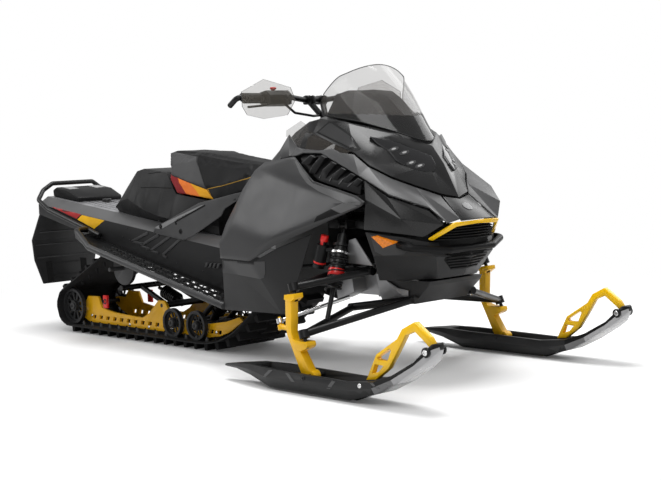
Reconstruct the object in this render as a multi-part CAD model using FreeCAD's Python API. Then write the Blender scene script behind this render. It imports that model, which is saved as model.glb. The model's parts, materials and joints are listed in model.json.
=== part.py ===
import FreeCAD, Part
import math
import os

from FreeCAD import Vector

# Trail snowmobile in millimetres: +X forward, +Y left, +Z up.
# The origin is on the ground, under the middle of the machine.

# Overall stance
FRONT_REACH = 1508.0
SKI_STANCE = 1077.0
RUNNING_GAP = 0.3
BELT_SLACK = 2.5

# Track and its wheels
TRACK_WIDTH = 381.0
LUG_HEIGHT = 32.0
BELT_THICKNESS = 5.0
LUG_PITCH = 73.0
LUG_FOOT = 26.0
LUG_TIP = 14.0
LUG_ROW_HALF = 62.0
LUG_OUTER_Y = 160.0
IDLER_X = -1211.0
IDLER_RADIUS = 88.0
CARRIER_X = -825.0
CARRIER_Z = 326.0
CARRIER_RADIUS = 83.0
SPROCKET_X = 125.0
SPROCKET_Z = 270.0
SPROCKET_RADIUS = 85.0
FRONT_RUN_SLOPE = 37.0
NOSE_BEND_RADIUS = 470.0
BOGIE_XS = (-424.0, -254.0)
BOGIE_RADIUS = 65.0
WHEEL_INNER_Y = 137.0
WHEEL_WIDTH = 20.0
HORN_HEIGHT = 20.0
HORN_INNER_Y = 126.5
HORN_WIDTH = 7.0
AXLE_RADIUS = 10.0

# Skid frame
RAIL_INNER_Y = 112.0
RAIL_THICKNESS = 12.0
SHOE_THICKNESS = 14.0

PIVOT_RADIUS = 9.0
BELT_INNER_Z = LUG_HEIGHT + BELT_THICKNESS
IDLER_Z = BELT_INNER_Z + IDLER_RADIUS
BOGIE_Z = BELT_INNER_Z + BOGIE_RADIUS + RUNNING_GAP
RAIL_BOTTOM_Z = BELT_INNER_Z + SHOE_THICKNESS
REAR_ARM_FOOT = (-537.0, RAIL_BOTTOM_Z + 118)
FRONT_ARM_FOOT = (-330.0, RAIL_BOTTOM_Z + 44)
REAR_ARM_TOP = Vector(-738.0, 0, 244.0)
FRONT_ARM_TOP = Vector(-70.0, 0, 300.0)

# Tunnel and running boards
TUNNEL_HALF = 205.0
TUNNEL_TOP_HALF = 150.0
TUNNEL_WALL = 4.0
TUNNEL_REAR_X = -1400.0
TUNNEL_FRONT_X = 290.0
TUNNEL_SLOPE = 0.12
TUNNEL_TOP_Z = 492.0
TUNNEL_EDGE_Z = 456.0
ANCHOR_XS = (-1110.0, -890.0)
ANCHOR_RADIUS = 22.0
ANCHOR_HEIGHT = 16.0
ANCHOR_HOLE_RADIUS = 4.0
ANCHOR_HOLE_DEPTH = 14.0
BOARD_SLOPE = 0.215
BOARD_Z = 278.0
BOARD_OUTER_Y = 335.0
BOARD_THICKNESS = 4.0
BOARD_FRONT_X = 180.0
BOARD_BEND_X = -765.0
BOARD_TUBE_RADIUS = 14.0
GRAB_RADIUS = 11.0

# Body skin
SKIN = 5.0
SEAM = 0.4
DASH_DROP = 1.8
LAMP_DEPTH = 45.0
PANEL_GAP = 3.0
BUMPER_RADIUS = 13.0
HOOD_REAR_X = 628.0
BULKHEAD_REAR_X = 640.0
BULKHEAD_FRONT_X = 900.0
KEEL_HALF = 146.9

# Skis and spindles
SKI_HALF_WIDTH = 67.0
SKI_PIVOT_X = 906.0
SKI_PIVOT_Z = 64.0
SKI_PIVOT_RADIUS = 8.0
SPINDLE_HALF = 17.0
UPPER_JOINT = Vector(822.0, -538.5, 338.0)
LOWER_JOINT = Vector(884.0, -553.0, 176.0)
STUD_RADIUS = 7.0
STUD_DROP = 16.0
BALL_RISE = 36.0
ARM_TUBE_RADIUS = 13.0
UPPER_PIVOT_Y = -246.0
LOWER_PIVOT_FRONT = Vector(1042.0, -165.0, 300.0)
LOWER_PIVOT_REAR = Vector(780.0, -208.0, 262.0)
SHOCK_TOP = Vector(806.0, -262.0, 574.0)
SHOCK_LOW = Vector(834.0, -398.0, 240.0)
SHOCK_EYE_HALF = 15.0
FRAME_RADIUS = 10.0
BOSS_RADIUS = 7.0
ARM_BALL_RADIUS = 19.0
ARM_HOUSING_HALF = 15.0
TIE_ROD_OUTER = Vector(736.0, -541.0, 246.0)
TIE_ROD_INNER = Vector(815.0, -262.0, 308.0)
TIE_ROD_RADIUS = 8.0
TIE_ROD_PIN_RADIUS = 5.0
TIE_ROD_EYE_RADIUS = 13.0
TIE_ROD_EYE_DROP = 24.0

# Steering
BAR_CENTRE = Vector(392.0, 0.0, 1055.0)
COLUMN_TILT = 35.0
COLUMN_RADIUS = 15.0
COLUMN_LENGTH = 210.0
COLUMN_CLEARANCE = 12.0
BEARING_DEPTH = 140.0
BEARING_LENGTH = 26.0
BAR_RADIUS = 11.0
GRIP_RADIUS = 17.0
HOSE_RADIUS = 5.0
GUARD_X = 452.0
GUARD_THICKNESS = 4.0
GUARD_OUTLINE = [(-442, 1085), (-440, 1029), (-417, 997), (-334, 981), (-209, 994), (-165, 1052), (-189, 1102),
                 (-329, 1133)]


# Basic shapes

def polygon_face(points):
    """Flat face through the given points."""
    return Part.Face(Part.makePolygon(points + [points[0]]))


def xz_prism(outline, y0, y1):
    """Solid with an outline in X and Z, between two Y values."""
    face = polygon_face([Vector(x, y0, z) for x, z in outline])
    return face.extrude(Vector(0, y1 - y0, 0))


def xy_prism(outline, z0, z1):
    """Solid with an outline in X and Y, between two Z values."""
    face = polygon_face([Vector(x, y, z0) for x, y in outline])
    return face.extrude(Vector(0, 0, z1 - z0))


def yz_section(x, outline):
    """Closed wire at one X with an outline in Y and Z."""
    points = [Vector(x, y, z) for y, z in outline]
    return Part.makePolygon(points + [points[0]])


def loft(wires):
    """Solid with straight walls through the wires in order."""
    return Part.makeLoft(wires, True, True)


def box(x0, x1, y0, y1, z0, z1):
    """Box between two corners."""
    return Part.makeBox(x1 - x0, y1 - y0, z1 - z0, Vector(x0, y0, z0))


def rod(a, b, radius):
    """Round rod from point a to point b."""
    run = b.sub(a)
    return Part.makeCylinder(radius, run.Length, a, run)


def cross_rod(x, z, y0, y1, radius):
    """Round rod along Y."""
    return Part.makeCylinder(radius, y1 - y0, Vector(x, y0, z), Vector(0, 1, 0))


def bent_path(points, bend):
    """Wire of straight runs joined by tangent arcs of the given radius."""
    edges = []
    start = points[0]
    for i in range(1, len(points) - 1):
        before = points[i].sub(points[i - 1]).normalize()
        after = points[i + 1].sub(points[i]).normalize()
        turn = before.getAngle(after)
        cut = bend * math.tan(turn / 2)
        enter = points[i].sub(Vector(before).multiply(cut))
        leave = points[i].add(Vector(after).multiply(cut))
        inward = Vector(after).sub(before).normalize()
        rise = bend / math.cos(turn / 2) - bend
        middle = points[i].add(inward.multiply(rise))
        edges.append(Part.LineSegment(start, enter).toShape())
        edges.append(Part.Arc(enter, middle, leave).toShape())
        start = leave
    edges.append(Part.LineSegment(start, points[-1]).toShape())
    return Part.Wire(edges)


def tube(points, radius, bend):
    """Round bar along straight runs and tangent arcs."""
    path = bent_path(points, bend)
    run = points[1].sub(points[0])
    ring = Part.Wire(Part.Circle(points[0], run, radius).toShape())
    return path.makePipeShell([ring], True, False, 2)


def largest(shape):
    """The biggest solid of a cut shape."""
    return max(shape.Solids, key=lambda solid: solid.Volume)


def mount(start, end, radius, panel):
    """Round boss from a frame point to the inner face of a panel."""
    cut = rod(start, end, radius).cut(panel)
    near = min(cut.Solids, key=lambda solid: solid.CenterOfMass.sub(start).Length)
    return near


def mirrored(shape):
    """The same piece on the other side of the machine."""
    return shape.mirror(Vector(0, 0, 0), Vector(0, 1, 0))


def both(shape):
    """A right hand piece with its left hand twin."""
    return Part.makeCompound([shape, mirrored(shape)])


def fuse(shapes):
    """One solid from pieces that overlap or touch."""
    return shapes[0].multiFuse(shapes[1:]).removeSplitter()


def solid_from(triangles):
    """Closed solid from triangles that share their edges."""
    faces = [polygon_face(list(corners)) for corners in triangles]
    shell = Part.makeCompound(faces)
    shell.sewShape()
    solid = Part.makeSolid(Part.Shell(shell.Faces))
    if solid.Volume < 0:
        solid.reverse()
    return solid.removeSplitter()


def skin(points, faces, thickness, inside):
    """Panel of even thickness behind a net of named corner points."""
    places = {name: Vector(*place) for name, place in points.items()}
    triangles = []
    for names in faces:
        names = names.split()
        for i in range(1, len(names) - 1):
            corners = [names[0], names[i], names[i + 1]]
            a, b, c = [places[name] for name in corners]
            normal = b.sub(a).cross(c.sub(a)).normalize()
            if normal.dot(a.sub(inside)) < 0:
                corners.reverse()
                normal = normal.multiply(-1)
            triangles.append((corners, normal))
    normals = {name: Vector(0, 0, 0) for name in places}
    for corners, normal in triangles:
        for i, name in enumerate(corners):
            one = places[corners[i - 1]].sub(places[name])
            two = places[corners[(i + 1) % 3]].sub(places[name])
            weighted = Vector(normal).multiply(one.getAngle(two))
            normals[name] = normals[name].add(weighted)
    inner = {}
    for name, place in places.items():
        inner[name] = place.sub(normals[name].normalize().multiply(thickness))
    walls = []
    edges = set()
    for corners, normal in triangles:
        walls.append([places[name] for name in corners])
        walls.append([inner[name] for name in reversed(corners)])
        for i in range(3):
            edges.add((corners[i - 1], corners[i]))
    for first, second in edges:
        if (second, first) not in edges:
            walls.append([places[second], places[first], inner[first]])
            walls.append([places[second], inner[first], inner[second]])
    return solid_from(walls)


def with_mirror(points, faces):
    """Net of a whole panel from its right half; centre points have Y of 0."""
    all_points = dict(points)
    twin = {}
    for name, (x, y, z) in points.items():
        twin[name] = name
        if y != 0:
            twin[name] = name + "_left"
            all_points[name + "_left"] = (x, -y, z)
    all_faces = list(faces)
    for names in faces:
        all_faces.append(" ".join(twin[name] for name in names.split()))
    return all_points, all_faces


def save(name, shape):
    """Write one piece of the machine."""
    shape.exportStep("parts/" + name + ".step")


# Slopes of the tunnel

def tunnel_top(x):
    """Height of the tunnel's flat top."""
    return TUNNEL_TOP_Z - TUNNEL_SLOPE * x


def tunnel_edge(x):
    """Height of the tunnel's lower chamfer edge."""
    return TUNNEL_EDGE_Z - TUNNEL_SLOPE * x


def board_top(x):
    """Height of the running board's top at the tunnel wall."""
    return BOARD_Z - BOARD_SLOPE * x


# Track loop

def loop_stations():
    """Tangent points of the belt's inner line round its wheels, as arcs."""
    rise = math.atan2(CARRIER_Z - IDLER_Z, CARRIER_X - IDLER_X)
    span = math.hypot(CARRIER_Z - IDLER_Z, CARRIER_X - IDLER_X)
    rear_tilt = rise - math.asin((IDLER_RADIUS - CARRIER_RADIUS) / span)
    top = math.atan2(SPROCKET_Z - CARRIER_Z, SPROCKET_X - CARRIER_X)
    top_span = math.hypot(SPROCKET_Z - CARRIER_Z, SPROCKET_X - CARRIER_X)
    top_tilt = top + math.asin((SPROCKET_RADIUS - CARRIER_RADIUS) / top_span)
    bend_z = BELT_INNER_Z + NOSE_BEND_RADIUS
    quarter = math.pi / 2
    nose = math.radians(FRONT_RUN_SLOPE) - quarter
    return [
        (IDLER_X, IDLER_Z, IDLER_RADIUS, 3 * quarter, rear_tilt + quarter),
        (CARRIER_X, CARRIER_Z, CARRIER_RADIUS, rear_tilt + quarter, top_tilt + quarter),
        (SPROCKET_X, SPROCKET_Z, SPROCKET_RADIUS, top_tilt + quarter, nose),
        (ground_front_x(), bend_z, NOSE_BEND_RADIUS, nose, -quarter),
    ]


def ground_front_x():
    """Where the belt's flat run ends and bends up to the sprockets."""
    slope = math.radians(FRONT_RUN_SLOPE)
    step = NOSE_BEND_RADIUS - SPROCKET_RADIUS
    drop = SPROCKET_Z + step * math.cos(slope) - BELT_INNER_Z - NOSE_BEND_RADIUS
    return SPROCKET_X - step * math.sin(slope) - drop / math.tan(slope)


def loop_point(distance, offset):
    """Point at a distance round the belt's inner line, moved outwards."""
    stations = loop_stations()
    walked = 0.0
    for i, (x, z, radius, start, end) in enumerate(stations):
        arc = abs(start - end) * radius
        if distance <= walked + arc:
            angle = start - (distance - walked) / radius
            return (x + (radius + offset) * math.cos(angle), z + (radius + offset) * math.sin(angle))
        walked += arc
        following = stations[(i + 1) % len(stations)]
        first = (x + radius * math.cos(end), z + radius * math.sin(end))
        start_angle = following[3]
        second = (following[0] + following[2] * math.cos(start_angle),
                  following[1] + following[2] * math.sin(start_angle))
        run = math.hypot(second[0] - first[0], second[1] - first[1])
        if distance <= walked + run:
            share = (distance - walked) / run
            ux = (second[0] - first[0]) / run
            uz = (second[1] - first[1]) / run
            px = first[0] + share * (second[0] - first[0])
            pz = first[1] + share * (second[1] - first[1])
            return (px - uz * offset, pz + ux * offset)
        walked += run
    return loop_point(distance - walked, offset)


def loop_length():
    """Length of the belt's inner line."""
    stations = loop_stations()
    total = 0.0
    for i, (x, z, radius, start, end) in enumerate(stations):
        total += abs(start - end) * radius
        following = stations[(i + 1) % len(stations)]
        first = (x + radius * math.cos(end), z + radius * math.sin(end))
        second = (following[0] + following[2] * math.cos(following[3]),
                  following[1] + following[2] * math.sin(following[3]))
        total += math.hypot(second[0] - first[0], second[1] - first[1])
    return total


def belt_band(y0, y1, phase, lugs, horns):
    """One strip of the track across its width, with or without lugs and guide horns."""
    length = loop_length()
    count = round(length / LUG_PITCH)
    pitch = length / count
    outer = []
    inner = []
    for i in range(count):
        middle = (i + phase) * pitch
        outer.append(loop_point((middle - LUG_FOOT / 2) % length, BELT_THICKNESS))
        if lugs:
            outer.append(loop_point((middle - LUG_TIP / 2) % length, BELT_THICKNESS + LUG_HEIGHT))
            outer.append(loop_point((middle + LUG_TIP / 2) % length, BELT_THICKNESS + LUG_HEIGHT))
        outer.append(loop_point((middle + LUG_FOOT / 2) % length, BELT_THICKNESS))
        station = i * pitch
        inner.append(loop_point(station % length, 0.0))
        if horns:
            inner.append(loop_point((station + pitch / 2 - HORN_WIDTH) % length, 0.0))
            inner.append(loop_point((station + pitch / 2) % length, -HORN_HEIGHT))
            inner.append(loop_point((station + pitch / 2 + HORN_WIDTH) % length, 0.0))
        else:
            inner.append(loop_point((station + pitch / 2) % length, 0.0))
    return xz_prism(outer, y0, y1).cut(xz_prism(inner, y0, y1))


def track():
    """Rubber track with three rows of lugs and its guide horns."""
    half = TRACK_WIDTH / 2
    bands = [belt_band(-LUG_ROW_HALF, LUG_ROW_HALF, 0.5, True, False)]
    for side in (-1, 1):
        spans = [
            (LUG_ROW_HALF, HORN_INNER_Y, True, False),
            (HORN_INNER_Y, HORN_INNER_Y + HORN_WIDTH, True, True),
            (HORN_INNER_Y + HORN_WIDTH, LUG_OUTER_Y, True, False),
            (LUG_OUTER_Y, half, False, False),
        ]
        for y0, y1, lugs, horns in spans:
            low, high = sorted((side * y0, side * y1))
            bands.append(belt_band(low, high, 0.0, lugs, horns))
    return fuse(bands)


# Wheels of the skid

def spoked_wheel(x, z, radius, y0, y1):
    """Wheel with a rubber rim and five double spokes."""
    rim = 12.0
    hub = 0.3 * radius
    web = 6.0
    wheel = cross_rod(x, z, y0, y1, radius)
    dish = y1 - y0 - web
    bowl = cross_rod(x, z, y1 - dish, y1, radius - rim)
    bowl = bowl.cut(cross_rod(x, z, y0, y1, hub))
    wheel = wheel.cut(bowl)
    window = xz_prism(
        [(x - 5, z + hub + 4), (x + 5, z + hub + 4), (x + 13, z + radius - rim - 8), (x - 13, z + radius - rim - 8)],
        y0 - 1, y1 + 1,
    )
    for i in range(10):
        turned = window.copy()
        turned.rotate(Vector(x, 0, z), Vector(0, 1, 0), 36.0 * i)
        wheel = wheel.cut(turned)
    return wheel


def wheel_pair(x, z, radius):
    """Two wheels on one axle."""
    outer = WHEEL_INNER_Y + WHEEL_WIDTH
    left = spoked_wheel(x, z, radius, WHEEL_INNER_Y, outer)
    axle = cross_rod(x, z, -WHEEL_INNER_Y, WHEEL_INNER_Y, AXLE_RADIUS)
    caps = [cross_rod(x, z, side * outer - 6, side * outer + 6, 14.0) for side in (-1, 1)]
    return fuse([left, mirrored(left), axle] + caps)


def wheels():
    """Rear idlers, bogie wheels and upper carrier wheels."""
    save("rear_idler_wheels", wheel_pair(IDLER_X, IDLER_Z, IDLER_RADIUS - BELT_SLACK))
    bogies = [wheel_pair(x, BOGIE_Z, BOGIE_RADIUS) for x in BOGIE_XS]
    save("bogie_wheels", Part.makeCompound(bogies))
    axle = cross_rod(CARRIER_X, CARRIER_Z, -TUNNEL_HALF + TUNNEL_WALL + 1, TUNNEL_HALF - TUNNEL_WALL - 1, AXLE_RADIUS)
    discs = []
    for side in (-1, 1):
        low, high = sorted((side * 104.0, side * 122.0))
        discs.append(cross_rod(CARRIER_X, CARRIER_Z, low, high, CARRIER_RADIUS - BELT_SLACK))
    save("carrier_wheels", fuse([axle] + discs))


# Skid frame

def rail_outline():
    """Side outline of a rail, from the rear axle to the front tip."""
    low = RAIL_BOTTOM_Z
    return [
        (IDLER_X - 30, low + 60), (IDLER_X - 22, low + 92), (IDLER_X + 61, low + 92), (IDLER_X + 83, low + 126),
        (IDLER_X + 168, low + 128), (IDLER_X + 196, low + 74), (-905, low + 58), (-691, low + 50), (-635, low + 76),
        (-560, low + 140), (-515, low + 140), (-470, low + 84), (-380, low + 66), (-200, low + 60),
        (-80, low + 78), (10, low + 104), (30, low + 88), (-60, low + 34), (-130, low + 10),
        (-200, low), (IDLER_X + 91, low), (IDLER_X + 21, low + 26),
    ]


def rails():
    """Pair of yellow rails with oval holes along them."""
    y0 = RAIL_INNER_Y
    y1 = RAIL_INNER_Y + RAIL_THICKNESS
    rail = xz_prism(rail_outline(), y0, y1)
    holes = []
    x = -1080.0
    while x < -120:
        clear = min(abs(x - bogie) for bogie in BOGIE_XS)
        if clear > 30:
            slot = xz_prism(
                [(x - 16, RAIL_BOTTOM_Z + 18), (x + 10, RAIL_BOTTOM_Z + 18),
                 (x + 16, RAIL_BOTTOM_Z + 36), (x - 10, RAIL_BOTTOM_Z + 36)],
                y0 - 1, y1 + 1,
            )
            holes.append(slot)
        x += 56.0
    for bogie in BOGIE_XS:
        holes.append(cross_rod(bogie, BOGIE_Z, y0 - 1, y1 + 1, AXLE_RADIUS + RUNNING_GAP))
    holes.append(cross_rod(IDLER_X, IDLER_Z, y0 - 1, y1 + 1, AXLE_RADIUS + RUNNING_GAP))
    for hole_x, hole_z in REAR_ARM_FOOT, FRONT_ARM_FOOT:
        holes.append(cross_rod(hole_x, hole_z, y0 - 1, y1 + 1, PIVOT_RADIUS + RUNNING_GAP))
    return both(rail.cut(Part.makeCompound(holes)))


def slide_shoes():
    """Low friction strips under the rails."""
    y0 = RAIL_INNER_Y - 2
    y1 = RAIL_INNER_Y + RAIL_THICKNESS + 2
    shoe = box(IDLER_X + 81, ground_front_x(), y0, y1, BELT_INNER_Z + RUNNING_GAP, RAIL_BOTTOM_Z)
    return both(shoe)


def skid_arms():
    """Front and rear swing arms of the skid with their cross tubes."""
    inner = RAIL_INNER_Y - 1
    pieces = []
    for (foot_x, foot_z), top in ((REAR_ARM_FOOT, REAR_ARM_TOP), (FRONT_ARM_FOOT, FRONT_ARM_TOP)):
        reach = RAIL_INNER_Y + RAIL_THICKNESS
        wide = TUNNEL_HALF - TUNNEL_WALL - SEAM
        foot = cross_rod(foot_x, foot_z, -reach, reach, PIVOT_RADIUS)
        foot_sleeve = cross_rod(foot_x, foot_z, -inner, inner, 15.0)
        head = cross_rod(top.x, top.z, -wide, wide, 13.0)
        legs = []
        for side in (-1, 1):
            a = Vector(foot_x, side * (inner - 18), foot_z)
            b = Vector(top.x, side * 88, top.z)
            legs.append(rod(a, b, 12.0))
        pieces.append(fuse([foot, foot_sleeve, head] + legs))
    return Part.makeCompound(pieces)


def damper(a, b, body_radius, spring_radius, share):
    """Damper with a ribbed spring round part of its length."""
    run = b.sub(a)
    length = run.Length
    unit = Vector(run).normalize()

    def at(part):
        return a.add(Vector(unit).multiply(part * length))

    pieces = [rod(a, at(0.55), body_radius), rod(at(0.5), b, body_radius * 0.45)]
    turns = 8
    first, last = share
    pieces.append(rod(at(first), at(last), spring_radius - 7))
    step = (last - first) / turns
    for i in range(turns):
        middle = first + (i + 0.5) * step
        pieces.append(rod(at(middle - 0.22 * step), at(middle + 0.22 * step), spring_radius))
    return fuse(pieces)


def skid_shocks():
    """Centre and rear dampers of the skid, on the middle line."""
    rear_top = REAR_ARM_TOP.add(Vector(22, 0, -16))
    rear_low = Vector(REAR_ARM_FOOT[0] - 4, 0, REAR_ARM_FOOT[1] - 2)
    rear = damper(rear_low, rear_top, 18.0, 32.0, (0.2, 0.75))
    front_low = Vector(FRONT_ARM_FOOT[0] + 10.5, 0, FRONT_ARM_FOOT[1] + 10)
    front_top = FRONT_ARM_TOP.add(Vector(-60, 0, 30))
    front = damper(front_low, front_top, 18.0, 32.0, (0.15, 0.8))
    cutters = skid_arms()
    return Part.makeCompound([largest(rear.cut(cutters)), largest(front.cut(cutters))])


def drive_axle():
    """Drive axle with its two toothed sprockets."""
    wide = TUNNEL_HALF - TUNNEL_WALL - SEAM
    pieces = [cross_rod(SPROCKET_X, SPROCKET_Z, -wide, wide, 16.0)]
    for side in (-1, 1):
        low, high = sorted((side * 60.0, side * 92.0))
        pieces.append(cross_rod(SPROCKET_X, SPROCKET_Z, low, high, SPROCKET_RADIUS - BELT_SLACK))
    return fuse(pieces)


# Tunnel, boards, rear end

def tunnel_section(x):
    """Outline of the tunnel sheet at one X, as a closed wire."""
    top = tunnel_top(x)
    edge = tunnel_edge(x)
    foot = board_top(x) - BOARD_THICKNESS
    wall = TUNNEL_WALL
    outer = [(-TUNNEL_HALF, foot), (-TUNNEL_HALF, edge), (-TUNNEL_TOP_HALF, top),
             (TUNNEL_TOP_HALF, top), (TUNNEL_HALF, edge), (TUNNEL_HALF, foot)]
    inner = [(TUNNEL_HALF - wall, foot), (TUNNEL_HALF - wall, edge - 0.4 * wall),
             (TUNNEL_TOP_HALF - 0.4 * wall, top - wall), (0.4 * wall - TUNNEL_TOP_HALF, top - wall),
             (wall - TUNNEL_HALF, edge - 0.4 * wall), (wall - TUNNEL_HALF, foot)]
    return yz_section(x, outer + inner)


def tunnel():
    """Folded sheet over the track, open below and at the rear."""
    sheet = loft([tunnel_section(TUNNEL_REAR_X), tunnel_section(TUNNEL_FRONT_X)])
    return fuse([sheet] + [anchor(x) for x in ANCHOR_XS])


def anchor(x):
    """Round boss on the tunnel top with an upright threaded hole for a load carrier."""
    top = tunnel_top(x) + ANCHOR_HEIGHT
    boss = Part.makeCylinder(ANCHOR_RADIUS, ANCHOR_HEIGHT + 6, Vector(x, 0, top - ANCHOR_HEIGHT - 6))
    hole = Part.makeCylinder(ANCHOR_HOLE_RADIUS, ANCHOR_HOLE_DEPTH, Vector(x, 0, top - ANCHOR_HOLE_DEPTH))
    return boss.cut(hole)


def running_board():
    """Perforated step with its outer tube, right side."""
    plan = [(-985, TUNNEL_HALF), (-950, 262), (BOARD_BEND_X, BOARD_OUTER_Y), (BOARD_FRONT_X, BOARD_OUTER_Y),
            (BOARD_FRONT_X, TUNNEL_HALF)]
    top = polygon_face([Vector(x, -y, board_top(x)) for x, y in plan])
    plate = top.extrude(Vector(0, 0, -BOARD_THICKNESS))
    slots = []
    for row_y in (238.0, 275.0, 312.0):
        x = -700.0
        while x < BOARD_FRONT_X - 60:
            z = board_top(x + 22)
            slots.append(box(x, x + 44, -row_y - 11, -row_y + 11, z - 40, z + 40))
            x += 66.0
    plate = plate.cut(Part.makeCompound(slots))
    tube_y = -(BOARD_OUTER_Y + BOARD_TUBE_RADIUS - 4)
    wall_y = -(TUNNEL_HALF + RUNNING_GAP)
    edge = tube([
        Vector(BOARD_FRONT_X, tube_y, board_top(BOARD_FRONT_X)),
        Vector(BOARD_BEND_X, tube_y, board_top(BOARD_BEND_X)),
        Vector(-936, -300, 514),
        Vector(-968, wall_y, 510),
    ], BOARD_TUBE_RADIUS, 50.0)
    closing = xz_prism([(BOARD_BEND_X, board_top(BOARD_BEND_X) - 3), (-936, 514), (-944, board_top(-944) - 3)],
                       -303, -299)
    closing.rotate(Vector(-936, -301, 0), Vector(0, 0, 1), -math.degrees(math.atan2(48, 171)))
    board = fuse([plate, edge, closing])
    clear = TUNNEL_HALF + RUNNING_GAP
    board = board.cut(box(-1100, BOARD_FRONT_X + 1, -clear, 0, 0, 700))
    return largest(board.cut(grab_bar(RUNNING_GAP)))


def grab_bar(gap=0.0):
    """Rear bumper tube that runs along both sides and over the tail, or the room for it."""
    side_y = TUNNEL_HALF + GRAB_RADIUS + RUNNING_GAP
    rear = TUNNEL_REAR_X
    right = [
        Vector(-866, -side_y, 486), Vector(rear + 105, -side_y, 598), Vector(rear + 19, -side_y, 646),
        Vector(rear - 12, -168, 690), Vector(rear - 5, -118, 722),
    ]
    left = [Vector(p.x, -p.y, p.z) for p in reversed(right)]
    return tube(right + left, GRAB_RADIUS + gap, 26.0)


def snow_flap():
    """Moulded flap with a crease and two upright recesses."""
    points = {
        "top": (TUNNEL_REAR_X + 12, RUNNING_GAP + TUNNEL_WALL - TUNNEL_HALF, 604),
        "bulge": (8 - FRONT_REACH, -196, 441),
        "crease": (-FRONT_REACH, -182, 338),
        "low": (14 - FRONT_REACH, -146, 217),
    }
    names = ["top", "bulge", "crease", "low"]
    all_points = {}
    for name in names:
        x, y, z = points[name]
        all_points[name] = (x, y, z)
        all_points[name + "_left"] = (x, -y, z)
    faces = []
    for first, second in zip(names, names[1:]):
        faces.append(first + " " + second + " " + second + "_left " + first + "_left")
    flap = skin(all_points, faces, 8.0, Vector(-1100, 0, 400))
    return flap


def tail_deck():
    """Moulded cap over the rear end of the tunnel top."""
    rear = TUNNEL_REAR_X + 16
    front = -1165.0
    outline = [
        (rear, tunnel_top(rear) + RUNNING_GAP), (rear - 4, 690), (rear + 30, 704), (-1250, 690),
        (front, 654), (front, tunnel_top(front) + RUNNING_GAP),
    ]
    return xz_prism(outline, -128, 128)


# Seat and storage

def hexagon(x, low_half, low_z, mid_half, mid_z, top_half, top_z):
    """Six sided section at one X, symmetric about the middle."""
    return yz_section(x, [
        (-low_half, low_z), (-mid_half, mid_z), (-top_half, top_z),
        (top_half, top_z), (mid_half, mid_z), (low_half, low_z),
    ])


def seat_base():
    """Faceted storage box under and behind the seat."""
    def low(x):
        return tunnel_top(x) + RUNNING_GAP
    return loft([
        hexagon(-838, 120, low(-838), 140, low(-838) + 22, 118, low(-838) + 40),
        hexagon(-780, 134, low(-780), 158, 640, 112, 700),
        hexagon(-702, 142, low(-702), 168, 656, 106, 778),
        hexagon(-640, 144, low(-640), 176, 632, 112, 789),
        hexagon(-560, 146, low(-560), 184, 606, 118, 782),
        hexagon(-462, 146, low(-462), 188, 584, 122, 772),
        hexagon(-372, 146, low(-372), 186, 570, 140, 677),
        hexagon(-72, 146, low(-72), 150, 540, 140, 641),
    ])


def seat():
    """Plain closed form of the seat cushion."""
    def slanted(shift, low_half, low_z, mid_half, mid_z, top_half, top_z):
        def x_at(z):
            return shift - 0.5 * (z - low_z)
        points = [(-low_half, low_z), (-mid_half, mid_z), (-top_half, top_z),
                  (top_half, top_z), (mid_half, mid_z), (low_half, low_z)]
        corners = [Vector(x_at(z), y, z) for y, z in points]
        return Part.makePolygon(corners + [corners[0]])
    return loft([
        slanted(-366, 150, 677, 160, 745, 108, 866),
        hexagon(-230, 158, 661, 166, 720, 116, 854),
        hexagon(-72, 162, 642, 160, 700, 104, 830),
        hexagon(130, 130, 700, 134, 740, 74, 803),
        hexagon(200, 112, 728, 112, 748, 60, 786),
    ])


def seat_brackets():
    """Slanted side brackets between the tunnel and the seat."""
    def foot(x):
        return tunnel_edge(x) - 3
    outline = [(-459, foot(-459)), (-241, foot(-241)), (-180, 500), (20, 592), (44, 622), (168, 674),
               (174, 694), (120, 686), (-126, 644), (-440, 534)]
    y0 = -(TUNNEL_HALF + RUNNING_GAP)
    plate = xz_prism(outline, y0 - 6, y0)
    return both(plate)


# Body

def console():
    """Cover over the tank between the seat and the bar, with the steering bearing."""
    body = loft([
        hexagon(150, 150, 640, 150, 690, 60, 700),
        hexagon(240, 190, 640, 205, 740, 70, 852),
        hexagon(367, 200, 640, 222, 790, 92, 926),
        hexagon(455, 200, 660, 226, 850, 96, 966),
        hexagon(HOOD_REAR_X - 2 * SEAM, 200, 690, 220, 868, 110, 990),
    ])
    seat_room = xz_prism([(100, 600), (262, 600), (262, 760), (222, 816), (100, 840)], -160, 160)
    body = body.cut(seat_room)
    body = body.cut(column_room())
    low = BAR_CENTRE.sub(steer_axis().multiply(BEARING_DEPTH + BEARING_LENGTH))
    high = BAR_CENTRE.sub(steer_axis().multiply(BEARING_DEPTH))
    ring = rod(low, high, COLUMN_RADIUS + COLUMN_CLEARANCE + 6)
    return fuse([body, ring.cut(rod(low, high, COLUMN_RADIUS + RUNNING_GAP))])


def steer_axis():
    """Unit vector up the steering column."""
    tilt = math.radians(COLUMN_TILT)
    return Vector(-math.sin(tilt), 0, math.cos(tilt))


def column_room():
    """Clear way round the steering column."""
    low = BAR_CENTRE.sub(steer_axis().multiply(COLUMN_LENGTH + 20))
    return rod(low, BAR_CENTRE, COLUMN_RADIUS + COLUMN_CLEARANCE)


SIDE_PANEL = {
    "rear_top": (292, -250, 781), "shoulder": (350, -248, 812), "peak": (569, -290, 834),
    "notch": (711, -332, 742), "tip_top": (945, -342, 690), "tip": (990, -346, 668),
    "tip_low": (971, -340, 652), "crease_front": (895, -356, 664), "crease": (559, -408, 533),
    "low_mid": (545, -386, 499), "low_front": (410, -398, 436), "low_rear": (202, -372, 437),
    "rear_mid": (194, -368, 496), "rear_up": (214, -345, 573), "waist": (302, -385, 585),
    "rear_high": (262, -290, 709),
}


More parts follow.
